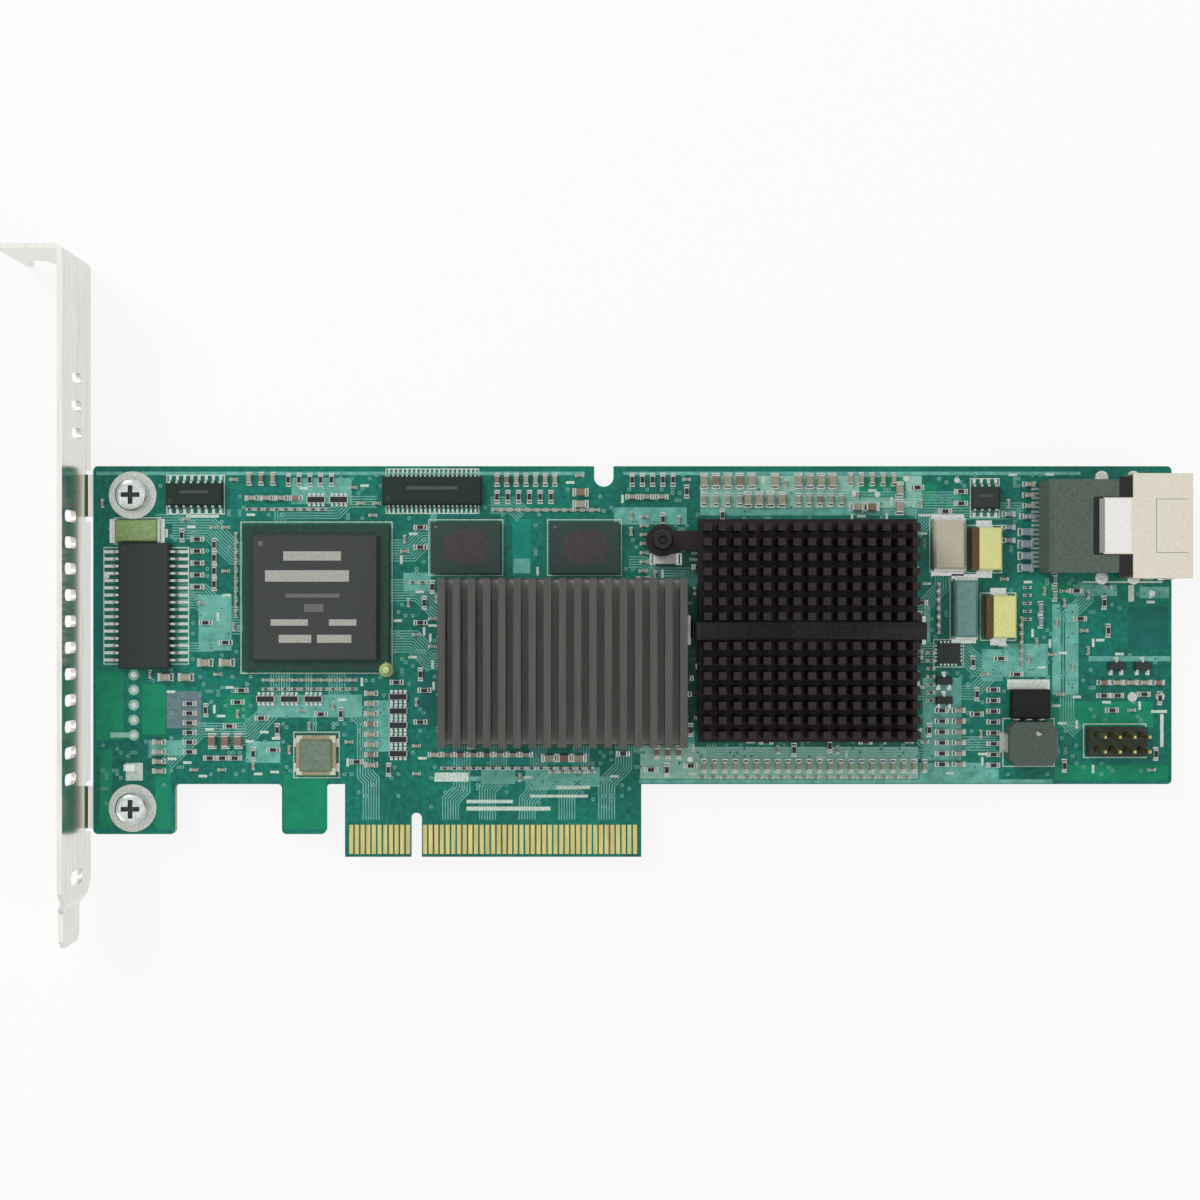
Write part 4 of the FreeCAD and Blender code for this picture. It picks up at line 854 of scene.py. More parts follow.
@dataclass
class ChipPart:
    """One size of chip part: body, end caps, solder fillets and pads."""

    body: Body
    length: float
    width: float
    height: float
    cap: float = 0.28
    land: float = 0.42
    film: float = 0.035

    def template(self) -> bpy.types.Mesh:
        """Build the part along X on the plane z = 0.

        Returns:
            A mesh with materials 0 body, 1 top film, 2 tin, 3 solder.
        """
        piece = Piece("chip_part")
        inner = self.length - 2 * self.cap
        rise = self.film
        bevel = 0.05 if self.body is Body.CAPACITOR else 0.0
        body_top = self.height - 0.03
        piece.block((0, 0, rise), (inner + 0.06, self.width - 0.05, body_top - rise), 0, bevel)
        if self.body is Body.RESISTOR:
            piece.block((0, 0, body_top - 0.01), (inner, self.width - 0.16, 0.035), 1)
        for side in (-1, 1):
            x = side * (self.length - self.cap) / 2
            piece.block((x, 0, rise), (self.cap, self.width, self.height - rise), 2, 0.05)
            end = side * self.length / 2
            fillet = piece.block((end + side * self.land / 4, 0, rise),
                                 (self.land / 2, self.width * 0.9, self.height * 0.55), 3)
            for vert in fillet:
                if abs(vert.co.x) > abs(end) + self.land / 4 and vert.co.z > rise + 0.05:
                    vert.co.z = rise + 0.03
            middle = end + side * (self.land - self.cap) / 2
            piece.block((middle, 0, 0), (self.cap + self.land, self.width * 1.15, self.film), 2)
        return piece.template()


def rows_of(start: Point, step: Point, count: int, long_way: bool,
            part: ChipPart) -> list[Box]:
    """Boxes of a row of chip parts on the component side.

    Args:
        start: the first part's middle.
        step: from one part to the next.
        count: how many parts there are.
        long_way: whether the parts are turned along Y.
        part: the kind of part.

    Returns:
        The boxes of the row.
    """
    across = (part.width, part.length) if long_way else (part.length, part.width)
    found = []
    for i in range(count):
        x, y = start[0] + i * step[0], start[1] + i * step[1]
        found.append((Vector((x - across[0] / 2, y - across[1] / 2, FACE)),
                      Vector((x + across[0] / 2, y + across[1] / 2, FACE + part.height))))
    return found


@dataclass
class ChipParts:
    """Every small capacitor, resistor, array and transistor on both sides."""

    layout: Layout
    seed: int = 11
    lift: float = 0.003
    lone_count: int = 190
    tries: int = 6000
    grid: float = 0.7
    gap: float = 0.35
    brown_share: float = 0.2
    grey_field: Rect = (104.0, 49.0, 110.0, 60.0)
    bare_tab: Point = (-40.0, 31.0)
    bare_plane: Point = (124.0, 36.0)

    def build(self) -> None:
        """Stand a detailed part in each place, and replace the plain CAD ones."""
        self.capacitors()
        self.resistors()
        self.scattered()
        self.arrays()
        self.transistors()

    def row(self, piece: Piece, template: bpy.types.Mesh, part: ChipPart, place: Row) -> None:
        """Stand a row of one part and keep its places.

        Args:
            piece: the piece that takes them.
            template: the part's mesh.
            part: the part's sizes.
            place: where the row stands.
        """
        start, step, count, long_way = place
        for i, box in enumerate(rows_of(start, step, count, long_way, part)):
            piece.stamp(template, over(box, FACE + i % 3 * self.lift))
            self.layout.take(box)

    def capacitors(self) -> None:
        """Capacitors where CAD has them, and the rows that CAD leaves out."""
        pick = random.Random(self.seed)
        for node in ("chip_capacitors_medium", "chip_capacitors_large", "back_capacitors"):
            boxes = islands(node)
            size = boxes[0][1] - boxes[0][0]
            part = ChipPart(Body.CAPACITOR, max(size.x, size.y), min(size.x, size.y), size.z)
            template = part.template()
            tan = Piece(node + "_tan", CERAMIC, CERAMIC, TIN, SOLDER, slot=Slot.CERAMIC,
                        replaces=(node,))
            other = Piece(node + "_brown_and_grey", BROWN_CERAMIC, CERAMIC, TIN, SOLDER,
                          BLUE_CERAMIC, slot=Slot.CERAMIC)
            grey = part.template()
            for face in grey.polygons:
                face.material_index = 4 if face.material_index == 0 else face.material_index
            x0, y0, x1, y1 = self.grey_field
            for i, box in enumerate(boxes):
                lift = i % 3 * self.lift
                under = node == "back_capacitors"
                place = flipped(box, BACK - lift) if under else over(box, FACE + lift)
                brown = pick.random() < self.brown_share
                if x0 < box[0].x < x1 and y0 < box[0].y < y1:
                    other.stamp(grey, place)
                else:
                    (other if brown else tan).stamp(template, place)
            tan.finish()
            other.finish()
        medium = ChipPart(Body.CAPACITOR, 1.6, 0.8, 0.8)
        small = ChipPart(Body.CAPACITOR, 1.0, 0.5, 0.5, cap=0.2, land=0.25)
        wide = ChipPart(Body.CAPACITOR, 4.5, 1.8, 1.4, cap=0.5, land=0.6)
        groups: dict[str, tuple[Finish, ChipPart, tuple[Row, ...]]] = {
            "chip_capacitors_rows": (CERAMIC, medium, (
                ((50.65, 16.06), (1.85, 0), 22, True), ((76.45, 66.56), (1.9, 0), 5, True))),
            "chip_capacitors_grey": (BLUE_CERAMIC, medium, (
                ((104.3, 60.4), (0, -2.3), 3, False), ((107.4, 60.0), (0, -2.6), 3, False),
                ((112.4, 48.9), (0, -2.7), 2, True), ((109.9, 43.9), (0, -2.4), 2, True))),
            "chip_capacitors_brown": (BROWN_CERAMIC, medium, (
                ((42.4, 18.5), (1.9, 0), 3, True),)),
            "chip_capacitors_small": (CERAMIC, small, (
                ((14.0, 61.16), (1.6, 0), 12, False), ((-26.5, 31.2), (1.7, 0), 10, False),
                ((92.0, 47.6), (0, -1.5), 6, True), ((24.0, 15.0), (1.7, 0), 5, False),
                ((106.6, 41.6), (0, -1.5), 6, True), ((-31.8, 56.5), (0, -1.7), 9, True),
                ((40.1, 60.0), (0, -1.6), 6, False),
                ((50.25, 14.06), (2.0, 0), 19, False))),
            "chip_capacitor_wide": (ALUMINA, wide, (((43.9, 52.5), (1, 0), 1, False),)),
        }
        for name, (body, part, places) in groups.items():
            piece = Piece(name, body, CERAMIC, TIN, SOLDER, slot=Slot.CERAMIC)
            template = part.template()
            for place in places:
                self.row(piece, template, part, place)
            piece.finish()

    def resistors(self) -> None:
        """Rows of resistors, which CAD leaves out."""
        medium = ChipPart(Body.RESISTOR, 1.6, 0.8, 0.45)
        small = ChipPart(Body.RESISTOR, 1.0, 0.5, 0.35, cap=0.2, land=0.25)
        rows: dict[str, tuple[ChipPart, tuple[Row, ...]]] = {
            "chip_resistors_medium": (medium, (
                ((-22.55, 66.46), (1.9, 0), 5, True), ((14.2, 63.46), (1.9, 0), 6, True),
                ((38.0, 66.46), (1.8, 0), 5, True),
                ((-36.35, 17.46), (2.2, 0), 3, False), ((-39.95, 27.06), (0, -1.7), 6, False),
                ((121.0, 28.46), (2.4, 0), 2, False), ((92.51, 25.86), (0, -1.9), 6, False),
                ((101.6, 29.5), (0, -1.9), 8, False), ((-38.6, 56.0), (0, -2.1), 5, False),
                ((-35.6, 55.0), (0, -2.3), 4, True))),
            "chip_resistors_small": (small, (
                ((-29.35, 61.26), (1.6, 0), 9, False), ((5.0, 15.66), (1.7, 0), 16, False),
                ((-26.5, 29.6), (1.7, 0), 10, False),
                ((90.6, 36.0), (0, -1.4), 7, False), ((107.6, 47.5), (0, -1.4), 5, False),
                ((-0.6, 48.4), (1.7, 0), 2, False))),
        }
        for name, (part, places) in rows.items():
            template = part.template()
            piece = Piece(name, ALUMINA, GLASS_BLACK, TIN, SOLDER, slot=Slot.GLASS)
            for place in places:
                self.row(piece, template, part, place)
            piece.finish()

    def scattered(self) -> None:
        """Lone small parts on bare places, which fill the board as on the real one."""
        pick = random.Random(self.seed + 5)
        kinds = (
            (Piece("lone_capacitors", CERAMIC, CERAMIC, TIN, SOLDER, slot=Slot.CERAMIC),
             ChipPart(Body.CAPACITOR, 1.0, 0.5, 0.5, cap=0.2, land=0.25)),
            (Piece("lone_resistors", ALUMINA, GLASS_BLACK, TIN, SOLDER, slot=Slot.GLASS),
             ChipPart(Body.RESISTOR, 1.6, 0.8, 0.45)))
        templates = [part.template() for _, part in kinds]
        low, high, grid = self.layout.low, self.layout.high, self.grid
        placed = 0
        for trial in range(self.tries):
            x = round(pick.uniform(low.x, high.x) / grid) * grid
            y = round(pick.uniform(self.layout.foot, high.y) / grid) * grid
            on_tab = x < self.bare_tab[0] and y < self.bare_tab[1]
            plain = x > self.bare_plane[0] and y > self.bare_plane[1]
            piece, part = kinds[trial % 2]
            upright = pick.random() < 0.5
            across, along = part.width / 2, part.length / 2
            half = (across, along) if upright else (along, across)
            if (on_tab or plain
                    or not self.layout.free(x, y, half[0] + self.gap, half[1] + self.gap)):
                continue
            self.row(piece, templates[trial % 2], part, ((x, y), (1, 0), 1, upright))
            placed += 1
            if placed == self.lone_count:
                break
        for piece, _ in kinds:
            piece.finish()

    def arrays(self) -> None:
        """Resistor arrays: a black body with four small terminals on each long side."""
        boxes = islands("resistor_arrays")
        size = boxes[0][1] - boxes[0][0]
        one = Piece("array")
        one.block((0, 0, 0.03), (size.x, size.y - 0.5, size.z - 0.06), 0)
        one.block((0, 0, size.z - 0.04), (size.x - 0.2, size.y - 0.62, 0.035), 1)
        for i in range(4):
            x = (i - 1.5) * size.x / 4
            for side in (-1, 1):
                one.block((x, side * (size.y - 0.3) / 2, 0.03), (0.42, 0.32, size.z - 0.05), 2,
                          0.04)
                one.block((x, side * (size.y / 2 + 0.12), 0), (0.5, 0.5, 0.035), 3)
        template = one.template()
        piece = Piece("resistor_arrays_detailed", ALUMINA, GLASS_BLACK, TIN, SOLDER,
                      slot=Slot.GLASS, replaces=("resistor_arrays",))
        for box in boxes:
            piece.stamp(template, over(box, FACE))
        piece.finish()

    def transistors(self) -> None:
        """Small transistors: a bevelled body with three bent legs."""
        boxes = islands("small_transistors")
        size = boxes[0][1] - boxes[0][0]
        one = Piece("transistor")
        one.block((0, 0, 0.08), (size.x, size.y, size.z - 0.08), 0, 0.1)
        for x, side in ((-0.95, -1), (0.95, -1), (0.0, 1)):
            y = side * size.y / 2
            one.block((x, y + side * 0.2, size.z * 0.42), (0.42, 0.4, 0.12), 1)
            one.block((x, y + side * 0.38, 0.03), (0.42, 0.12, size.z * 0.48), 1)
            one.block((x, y + side * 0.55, 0.03), (0.42, 0.34, 0.12), 1)
            one.block((x, y + side * 0.6, 0), (0.7, 0.7, 0.035), 2)
        template = one.template()
        piece = Piece("small_transistors_detailed", MOULD, TIN, SOLDER, slot=Slot.MOULD,
                      replaces=("small_transistors",))
        for box in boxes:
            piece.stamp(template, over(box, FACE))
        piece.finish()


# Chips with bent leads

@dataclass
class GullChip:
    """A moulded chip with rows of bent leads on two sides."""

    node: str
    upright: bool
    lead: float
    thick: float
    mark_bars: tuple[Rect, ...] = ()
    mould: Finish = MOULD

    def build(self) -> None:
        """Replace the plain leads by bent ones, with solder, and mark the top."""
        dress(self.mould, self.node)
        low, high = box_mm(self.node)
        middle = (low + high) / 2
        piece = Piece(self.node + "_leads_bent", TIN, SOLDER, slot=Slot.TIN,
                      replaces=(self.node + "_leads",))
        across = (high.x - low.x) if self.upright else (high.y - low.y)
        for box in islands(self.node + "_leads"):
            centre = (box[0] + box[1]) / 2
            out = (box[1] - box[0]).x if self.upright else (box[1] - box[0]).y
            away = centre.x - middle.x if self.upright else centre.y - middle.y
            side = math.copysign(1.0, away)
            angle = (0.0 if side > 0 else math.pi) if self.upright else side * math.pi / 2
            base = Matrix.Translation(
                (middle.x + side * across / 2, centre.y, 0) if self.upright
                else (centre.x, middle.y + side * across / 2, 0))
            self.lead_at(piece, base @ Matrix.Rotation(angle, 4, "Z"), out, middle.z)
        piece.finish()
        top = Piece(self.node + "_top_marks", WORN_MARK, MOULD_BROWN, slot=Slot.MOULD)
        for x, y, length, width in self.mark_bars:
            size = (width, length) if self.upright else (length, width)
            top.block((middle.x + x, middle.y + y, high.z - 0.005), (*size, 0.02))
        inset = 1.1 if across > 4.5 else 0.75
        corner = high.y - inset if self.upright else low.y + inset
        top.ring((low.x + inset, corner, high.z - 0.01), 0.2, 0.42, 0.022, 1, 16)
        top.finish()

    def lead_at(self, piece: Piece, place: Matrix, out: float, z: float) -> None:
        """One lead that leaves the body at the place along X, drops and lies on its pad.

        Args:
            piece: the piece that takes it.
            place: where it leaves the body, with X outwards.
            out: how far it reaches out.
            z: height at which it leaves the body.
        """
        half = self.thick / 2
        knee = out * 0.34
        heel = out * 0.5
        run = [(-0.1, z), (knee * 0.75, z), (knee, z - 0.12), (heel, FACE + half + 0.14),
               (heel + 0.12, FACE + half + 0.03), (out, FACE + half + 0.03)]
        rows = []
        for i, (x, height) in enumerate(run):
            before = run[max(i - 1, 0)]
            after = run[min(i + 1, len(run) - 1)]
            slope = Vector((after[0] - before[0], after[1] - before[1])).normalized()
            up = Vector((-slope.y, slope.x)) * half
            rows.append([piece.bm.verts.new(place @ Vector((x + up.x * s, y, height + up.y * s)))
                         for s, y in ((1, -self.lead / 2), (1, self.lead / 2),
                                      (-1, self.lead / 2), (-1, -self.lead / 2))])
        faces = [piece.bm.faces.new(rows[0]), piece.bm.faces.new(rows[-1][::-1])]
        for one, two in zip(rows, rows[1:]):
            for i in range(4):
                j = (i + 1) % 4
                faces.append(piece.bm.faces.new((one[i], two[i], two[j], one[j])))
        bmesh.ops.recalc_face_normals(piece.bm, faces=faces)
        for start, length, height in ((heel - 0.25, out - heel + 0.75, 0.03),
                                      (heel - 0.1, out - heel + 0.35, 0.11)):
            piece.cube(place @ Matrix.Translation((start + length / 2, 0, FACE + height / 2))
                       @ Matrix.Diagonal((length, self.lead * 1.25, height, 1.0)), 1)


# The board itself

@dataclass
class Board:
    """Lacquer, copper, ink, vias and pads on both faces of the circuit board."""

    layout: Layout
    copper: float = 0.02
    ink: float = 0.012
    trace: float = 0.2
    pitch: float = 0.46
    line: float = 0.18
    seed: int = 23
    via_count: int = 620
    via_tries: int = 9000
    via_grid: float = 0.635
    tick_count: int = 110
    tick_tries: int = 4000

    def build(self) -> None:
        """Dress the board and lay everything that is printed or etched on it."""
        dress(MASK, "circuit_board")
        dress(GOLD, "edge_contacts_front", "edge_contacts_back")
        self.traces()
        self.planes()
        self.silkscreen()
        self.vias()
        self.pads()

    def bundle(self, piece: Piece, points: list[Point], count: int, z: float,
               thick: float) -> None:
        """A bundle of traces side by side, each a pitch from the next.

        Args:
            piece: the piece that takes them.
            points: the corners of the bundle's middle line.
            count: how many traces there are.
            z: height of their lower faces.
            thick: how thick they are.
        """
        for k in range(count):
            piece.ribbon(beside(points, (k - (count - 1) / 2) * self.pitch), self.trace, z, thick)

    def traces(self) -> None:
        """Bundles of traces between the chips, on both faces."""
        routes = [
            ([(-43.0, 58.0), (-36.5, 58.0), (-32.0, 53.5), (-30.6, 53.5)], 9),
            ([(-42.0, 46.0), (-38.0, 46.0), (-34.0, 42.0), (-30.6, 42.0)], 10),
            ([(-42.0, 37.0), (-36.0, 37.0), (-33.0, 40.0), (-30.6, 40.0)], 4),
            ([(-4.6, 54.0), (-1.0, 54.0), (1.2, 56.2), (2.4, 56.2)], 9),
            ([(-4.6, 47.0), (0.5, 47.0), (3.8, 43.7), (4.4, 43.7)], 9),
            ([(-4.6, 38.0), (-0.6, 38.0), (2.4, 35.0), (4.4, 35.0)], 9),
            ([(-24.0, 32.6), (-24.0, 27.4), (-30.0, 21.4), (-34.0, 21.4)], 8),
            ([(-14.0, 32.6), (-14.0, 29.0), (-9.0, 24.0), (-9.0, 14.5), (-8.0, 13.5),
              (-8.0, 6.6)], 7),
            ([(-19.0, 32.6), (-19.0, 26.0), (-18.2, 25.2), (-18.2, 22.0)], 3),
            ([(8.0, 22.8), (8.0, 12.0), (6.0, 10.0), (6.0, 6.6)], 7),
            ([(14.5, 22.8), (14.5, 14.0), (12.5, 12.0), (12.5, 6.6)], 7),
            ([(21.5, 22.8), (21.5, 12.0), (19.5, 10.0), (19.5, 6.6)], 7),
            ([(29.0, 22.8), (29.0, 14.0), (26.5, 11.5), (26.5, 6.6)], 7),
            ([(36.5, 22.8), (36.5, 16.0), (33.5, 13.0), (33.5, 6.6)], 7),
            ([(8.6, 49.4), (8.6, 49.9)], 12),
            ([(18.8, 60.2), (17.0, 62.0), (13.0, 62.0)], 7),
            ([(37.4, 52.0), (40.0, 52.0), (42.0, 50.0), (47.6, 50.0), (49.4, 48.2)], 5),
            ([(-24.0, 58.8), (-24.0, 60.6), (-14.0, 60.6), (-12.0, 62.6), (-7.0, 62.6)], 5),
            ([(84.4, 44.0), (89.0, 44.0), (92.6, 47.6), (92.6, 49.8)], 6),
            ([(87.8, 36.0), (96.5, 36.0), (99.0, 33.5), (110.0, 33.5)], 8),
            ([(87.8, 29.0), (98.0, 29.0), (101.5, 32.5)], 6),
            ([(87.8, 57.4), (89.4, 59.0), (89.4, 61.0), (107.0, 61.0)], 7),
            ([(88.0, 22.0), (90.0, 20.0), (102.0, 20.0)], 6),
            ([(118.0, 48.6), (118.0, 45.6), (114.6, 42.2), (114.6, 24.0), (116.6, 22.0)], 6),
            ([(56.0, 60.0), (56.0, 63.6), (88.0, 63.6), (96.0, 63.6)], 4),
            ([(52.0, 20.0), (52.0, 18.2), (90.0, 18.2)], 4),
            ([(-44.0, 16.4), (-38.0, 22.4), (-30.0, 22.4)], 6),
            ([(-46.0, 59.6), (-42.0, 59.6), (-40.0, 61.4)], 4),
        ]
        front = Piece("traces_component_side", MASK_ON_COPPER, slot=Slot.MASK)
        back = Piece("traces_back", MASK_ON_COPPER, slot=Slot.MASK)
        for i, (points, count) in enumerate(routes):
            lift = i * 0.0004
            self.bundle(front, points, count, FACE - 0.008 + lift, self.copper)
            mirrored = [(x + 4.0, y) for x, y in points if 14.5 < y][::-1]
            if len(mirrored) > 1:
                self.bundle(back, mirrored, count, BACK - self.copper + 0.008 - lift, self.copper)
        for y, x0, x1, count in ((59.6, -40.0, 96.0, 9), (29.5, -30.0, 60.0, 7),
                                 (16.6, -20.0, 90.0, 6), (45.0, 60.0, 124.0, 8)):
            points = [(x0, y), (x0 + 12.0, y), (x0 + 15.0, y + 3.0), (x1 - 9.0, y + 3.0),
                      (x1 - 6.0, y), (x1, y)]
            self.bundle(back, points, count, BACK - self.copper - 0.006 + count * 0.0004,
                        self.copper)
        front.finish()
        back.finish()

    def planes(self) -> None:
        """Areas of another tone: wide copper, dense traces and bare laminate, with a painted
        shadow beside the finned heat sink and painted light beside the capacitor rows.
        """
        piece = Piece("copper_planes_with_painted_light_and_shadow", MASK_ON_PLANE_AND_SHADOW, MASK_ON_BUS, MASK_BARE, MASK_ON_LAYER,
                      THIN_INK, MASK_ON_PAD_AND_PAINTED_LIGHT, slot=Slot.MASK)
        spots = (
            (125.3, 36.7, 132.5, 44.1, 0), (-56.4, 20.6, -51.6, 32.6, 2),
            (-48.3, 21.6, -44.2, 30.4, 2), (-55.8, 5.0, -53.6, 19.0, 2),
            (-46.0, 5.0, -43.2, 16.0, 2), (-23.4, 4.9, -15.7, 14.6, 2),
            (-28.0, 24.6, -9.6, 28.6, 1), (103.4, 31.8, 111.2, 37.6, 1),
            (88.6, 13.6, 102.6, 16.6, 1), (112.0, 28.6, 113.4, 44.6, 1),
            (114.3, 28.6, 116.6, 44.6, 1), (118.4, 34.5, 132.8, 35.4, 1),
            (110.4, 22.8, 129.8, 27.4, 2), (112.4, 13.6, 132.4, 16.2, 2),
            (108.8, 45.4, 116.2, 48.2, 2), (50.0, 60.2, 88.2, 61.4, 1),
            (-56.4, 67.3, 29.6, 67.9, 1), (36.4, 67.3, 117.0, 67.9, 1),
            (3.0, 13.4, 34.4, 14.2, 1), (39.2, 13.0, 112.0, 13.7, 1),
            (2.4, 49.6, 3.6, 60.8, 1), (16.9, 49.8, 20.2, 59.6, 3),
            (17.1, 50.0, 20.0, 52.6, 1), (38.2, 18.4, 49.0, 22.2, 1),
            (86.0, 62.2, 91.6, 65.6, 2), (-38.4, 36.4, -32.6, 46.2, 1),
            (-8.8, 18.6, -4.2, 27.6, 1), (89.4, 37.8, 90.5, 44.2, 1),
            (-33.6, 23.6, -29.2, 28.6, 2), (93.2, 61.4, 99.0, 64.0, 2),
            # The two wide bands in the pale pad tone beside the capacitor rows are painted light
            (-30.0, 16.6, -24.0, 20.4, 1), (50.0, 61.5, 89.0, 67.2, 5),
            (39.4, 13.8, 88.4, 19.4, 5), (5.4, 16.2, 30.0, 18.8, 3),
            (11.4, 12.9, 17.4, 15.8, 1), (19.2, 11.8, 27.8, 15.8, 1),
            (28.8, 12.4, 32.3, 15.8, 1), (78.0, 63.2, 86.2, 67.0, 2),
            (89.2, 17.0, 96.0, 31.6, 1), (-22.0, 62.2, -11.4, 66.8, 1),
            (34.8, 58.6, 47.6, 61.6, 1), (-44.0, 22.7, -37.9, 29.2, 4),
            # (0.8, 22.9, 4.2, 46.2) in the darker plane tone is a painted shadow left of the
            # finned heat sink
            (-47.2, 17.9, -40.6, 20.6, 1), (0.8, 22.9, 4.2, 46.2, 0),
            (-2.3, 46.8, 2.5, 50.1, 1), (115.7, 46.0, 123.4, 48.0, 1),
            (127.4, 45.6, 132.6, 47.6, 1), (99.6, 31.0, 103.3, 36.6, 1))
        for i, (*rect, finish) in enumerate(spots):
            piece.sheet(rect, FACE - 0.005, 0.008 + i * 0.0002, finish)
        for rect in ((-55.0, 22.0, -34.0, 58.0), (92.0, 16.0, 130.0, 34.0),
                     (96.0, 50.0, 128.0, 64.0)):
            piece.sheet(rect, BACK - 0.004, 0.008)
        piece.finish()

    def vias(self) -> None:
        """Small plated holes under the lacquer, on bare places of both faces."""
        one = Piece("via")
        one.rod((0, 0, 0), 0.34, 0.03, 0, 10)
        # The dark disc in the via's middle is painted shade of its bore
        one.rod((0, 0, 0.01), 0.14, 0.024, 1, 8)
        template = one.template()
        pick = random.Random(self.seed)
        piece = Piece("vias", MASK_ON_COPPER, BORE_SHADE, slot=Slot.MASK)
        places = []
        low, high = self.layout.low, self.layout.high
        for _ in range(self.via_tries):
            x = round(pick.uniform(low.x, high.x) / self.via_grid) * self.via_grid
            y = round(pick.uniform(9.0, high.y) / self.via_grid) * self.via_grid
            if self.layout.free(x, y, 0.2, 0.2) and (x, y) not in places:
                places.append((x, y))
            if len(places) == self.via_count:
                break
        for x, y in places:
            piece.stamp(template, Matrix.Translation((x, y, FACE)))
            under = Matrix.Translation((x, y, BACK)) @ Matrix.Rotation(math.pi, 4, "X")
            piece.stamp(template, under)
        piece.finish()

    def outline(self, piece: Piece, rect: Rect, z: float) -> None:
        """A printed frame round a part, of four strips that do not overlap.

        Args:
            piece: the piece that takes it.
            rect: the frame's outer edges.
            z: height of its lower face.
        """
        x0, y0, x1, y1 = rect
        wide = self.line
        for strip in ((x0, y0, x1, y0 + wide), (x0, y1 - wide, x1, y1),
                      (x0, y0 + wide, x0 + wide, y1 - wide),
                      (x1 - wide, y0 + wide, x1, y1 - wide)):
            piece.sheet(strip, z, self.ink)

    def silkscreen(self) -> None:
        """Printed frames round the chips, ticks, dots and plain bars."""
        piece = Piece("silkscreen_component_side", SILKSCREEN, slot=Slot.MASK)
        z = FACE + self.copper - 0.002
        margins = {"processor_substrate": 0.6, "flash_memory_leads": 0.6, "logic_chip_leads": 0.5,
                   "bus_driver_leads": 0.5, "monitor_chip_leads": 0.5, "memory_chip_left": 0.5,
                   "memory_chip_right": 0.5, "power_inductor": 0.5, "pin_header_base": 0.5,
                   "tantalum_capacitor_upper": 0.55, "tantalum_capacitor_lower": 0.55,
                   "film_capacitor": 0.5, "filter_choke": 0.5, "oscillator_base": 0.6,
                   "resettable_fuse": 0.45, "clock_buffer": 0.7}
        for i, (name, margin) in enumerate(margins.items()):
            low, high = box_mm(name)
            self.outline(piece, (low.x - margin, low.y - margin, high.x + margin,
                                 high.y + margin), z + i % 5 * 0.0006)
        for i, rect in enumerate((
                (8.8, 8.2, 23.6, 8.9), (8.8, 9.5, 17.0, 10.1), (20.0, 10.5, 30.2, 11.0),
                (3.2, 13.3, 9.2, 14.9), (-51.2, 13.5, -48.2, 16.6), (131.0, 19.4, 131.6, 25.2),
                (129.4, 25.4, 132.2, 25.9), (-40.6, 59.8, -34.8, 60.3),
                (88.4, 60.0, 92.6, 60.4), (24.6, 12.0, 30.6, 12.6),
                (117.4, 48.3, 131.4, 48.6), (125.4, 45.0, 126.4, 47.9))):
            piece.sheet(rect, z + i % 3 * 0.0011, self.ink)
            self.layout.keep(rect, 0.2)
        pick = random.Random(self.seed + 1)
        made = 0
        for _ in range(self.tick_tries):
            x = pick.uniform(self.layout.low.x, self.layout.high.x)
            y = pick.uniform(self.layout.foot, self.layout.high.y)
            length, width = (1.5, 0.45) if pick.random() < 0.7 else (0.45, 1.5)
            if not self.layout.free(x, y, length / 2, width / 2):
                continue
            rect = (x - length / 2, y - width / 2, x + length / 2, y + width / 2)
            piece.sheet(rect, z, self.ink)
            self.layout.keep(rect, 0.2)
            made += 1
            if made == self.tick_count:
                break
        piece.finish()

    def pads(self) -> None:
        """Bare tinned pads, holes and test points, and solder on the back."""
        piece = Piece("bare_pads_and_joints", TIN, SOLDER, MASK_ON_PAD_AND_PAINTED_LIGHT, slot=Slot.SOLDER)
        for i in range(5):
            y = 32.1 - i * 2.65
            piece.rod((-49.8, y, FACE), 0.95, 0.035, 2, 20)
            piece.rod((-49.8, y, FACE + 0.03), 0.5, 0.01, 1, 14)
        piece.block((-52.2, 21.5, FACE), (3.4, 0.9, 0.03), 2)
        for x, y, radius in ((86.2, 66.7, 0.5), (77.2, 64.1, 0.5), (81.2, 63.9, 0.5),
                             (126.1, 28.2, 0.85), (131.0, 28.3, 0.8), (129.6, 46.4, 0.55),
                             (48.2, 17.2, 0.5), (1.2, 64.2, 0.5), (-54.6, 49.5, 0.5),
                             (95.2, 66.4, 0.5)):
            piece.rod((x, y, FACE), radius, 0.035, 0, 18)
        for name in SCREWS:
            x, y = middle_of(*box_mm(name))
            for z in (FACE, BACK - 0.05):
                piece.ring((x, y, z), 1.75, 4.2, 0.05, 0, 32)
        for box in islands("pin_header_posts"):
            x, y = middle_of(*box)
            piece.rod((x, y, BACK - 0.62), 0.36, 0.62, 1, 14, top=0.85)
            piece.rod((x, y, BACK - 0.03), 0.95, 0.03, 0, 16)
        low, high = box_mm("receptacle_shell")
        for x in (low.x + 2.0, low.x + 7.6):
            for y in (low.y + 0.15, high.y - 0.15):
                piece.rod((x, y, BACK - 0.55), 0.45, 0.55, 1, 16, top=1.15)
                piece.rod((x, y, FACE - 0.01), 1.15, 0.05, 1, 16)
        for low, high in islands("clip_anchors"):
            for y in (low.y + 0.3, high.y - 0.3):
                piece.rod(((low.x + high.x) / 2, y, BACK - 0.6), 0.35, 0.6, 1, 14, top=0.85)
        for low, high in islands("receptacle_solder_tails"):
            y = (low.y + high.y) / 2
            piece.block((low.x + 0.25, y, FACE), (1.3, 0.46, 0.035), 0)
            piece.block((low.x + 0.3, y, FACE), (0.9, 0.4, 0.14), 1, 0.04)
        piece.finish()
        bond = Piece("corner_bond", ADHESIVE)
        corner_top = box_mm("processor_substrate")[1].z
        start = FACE - 0.01
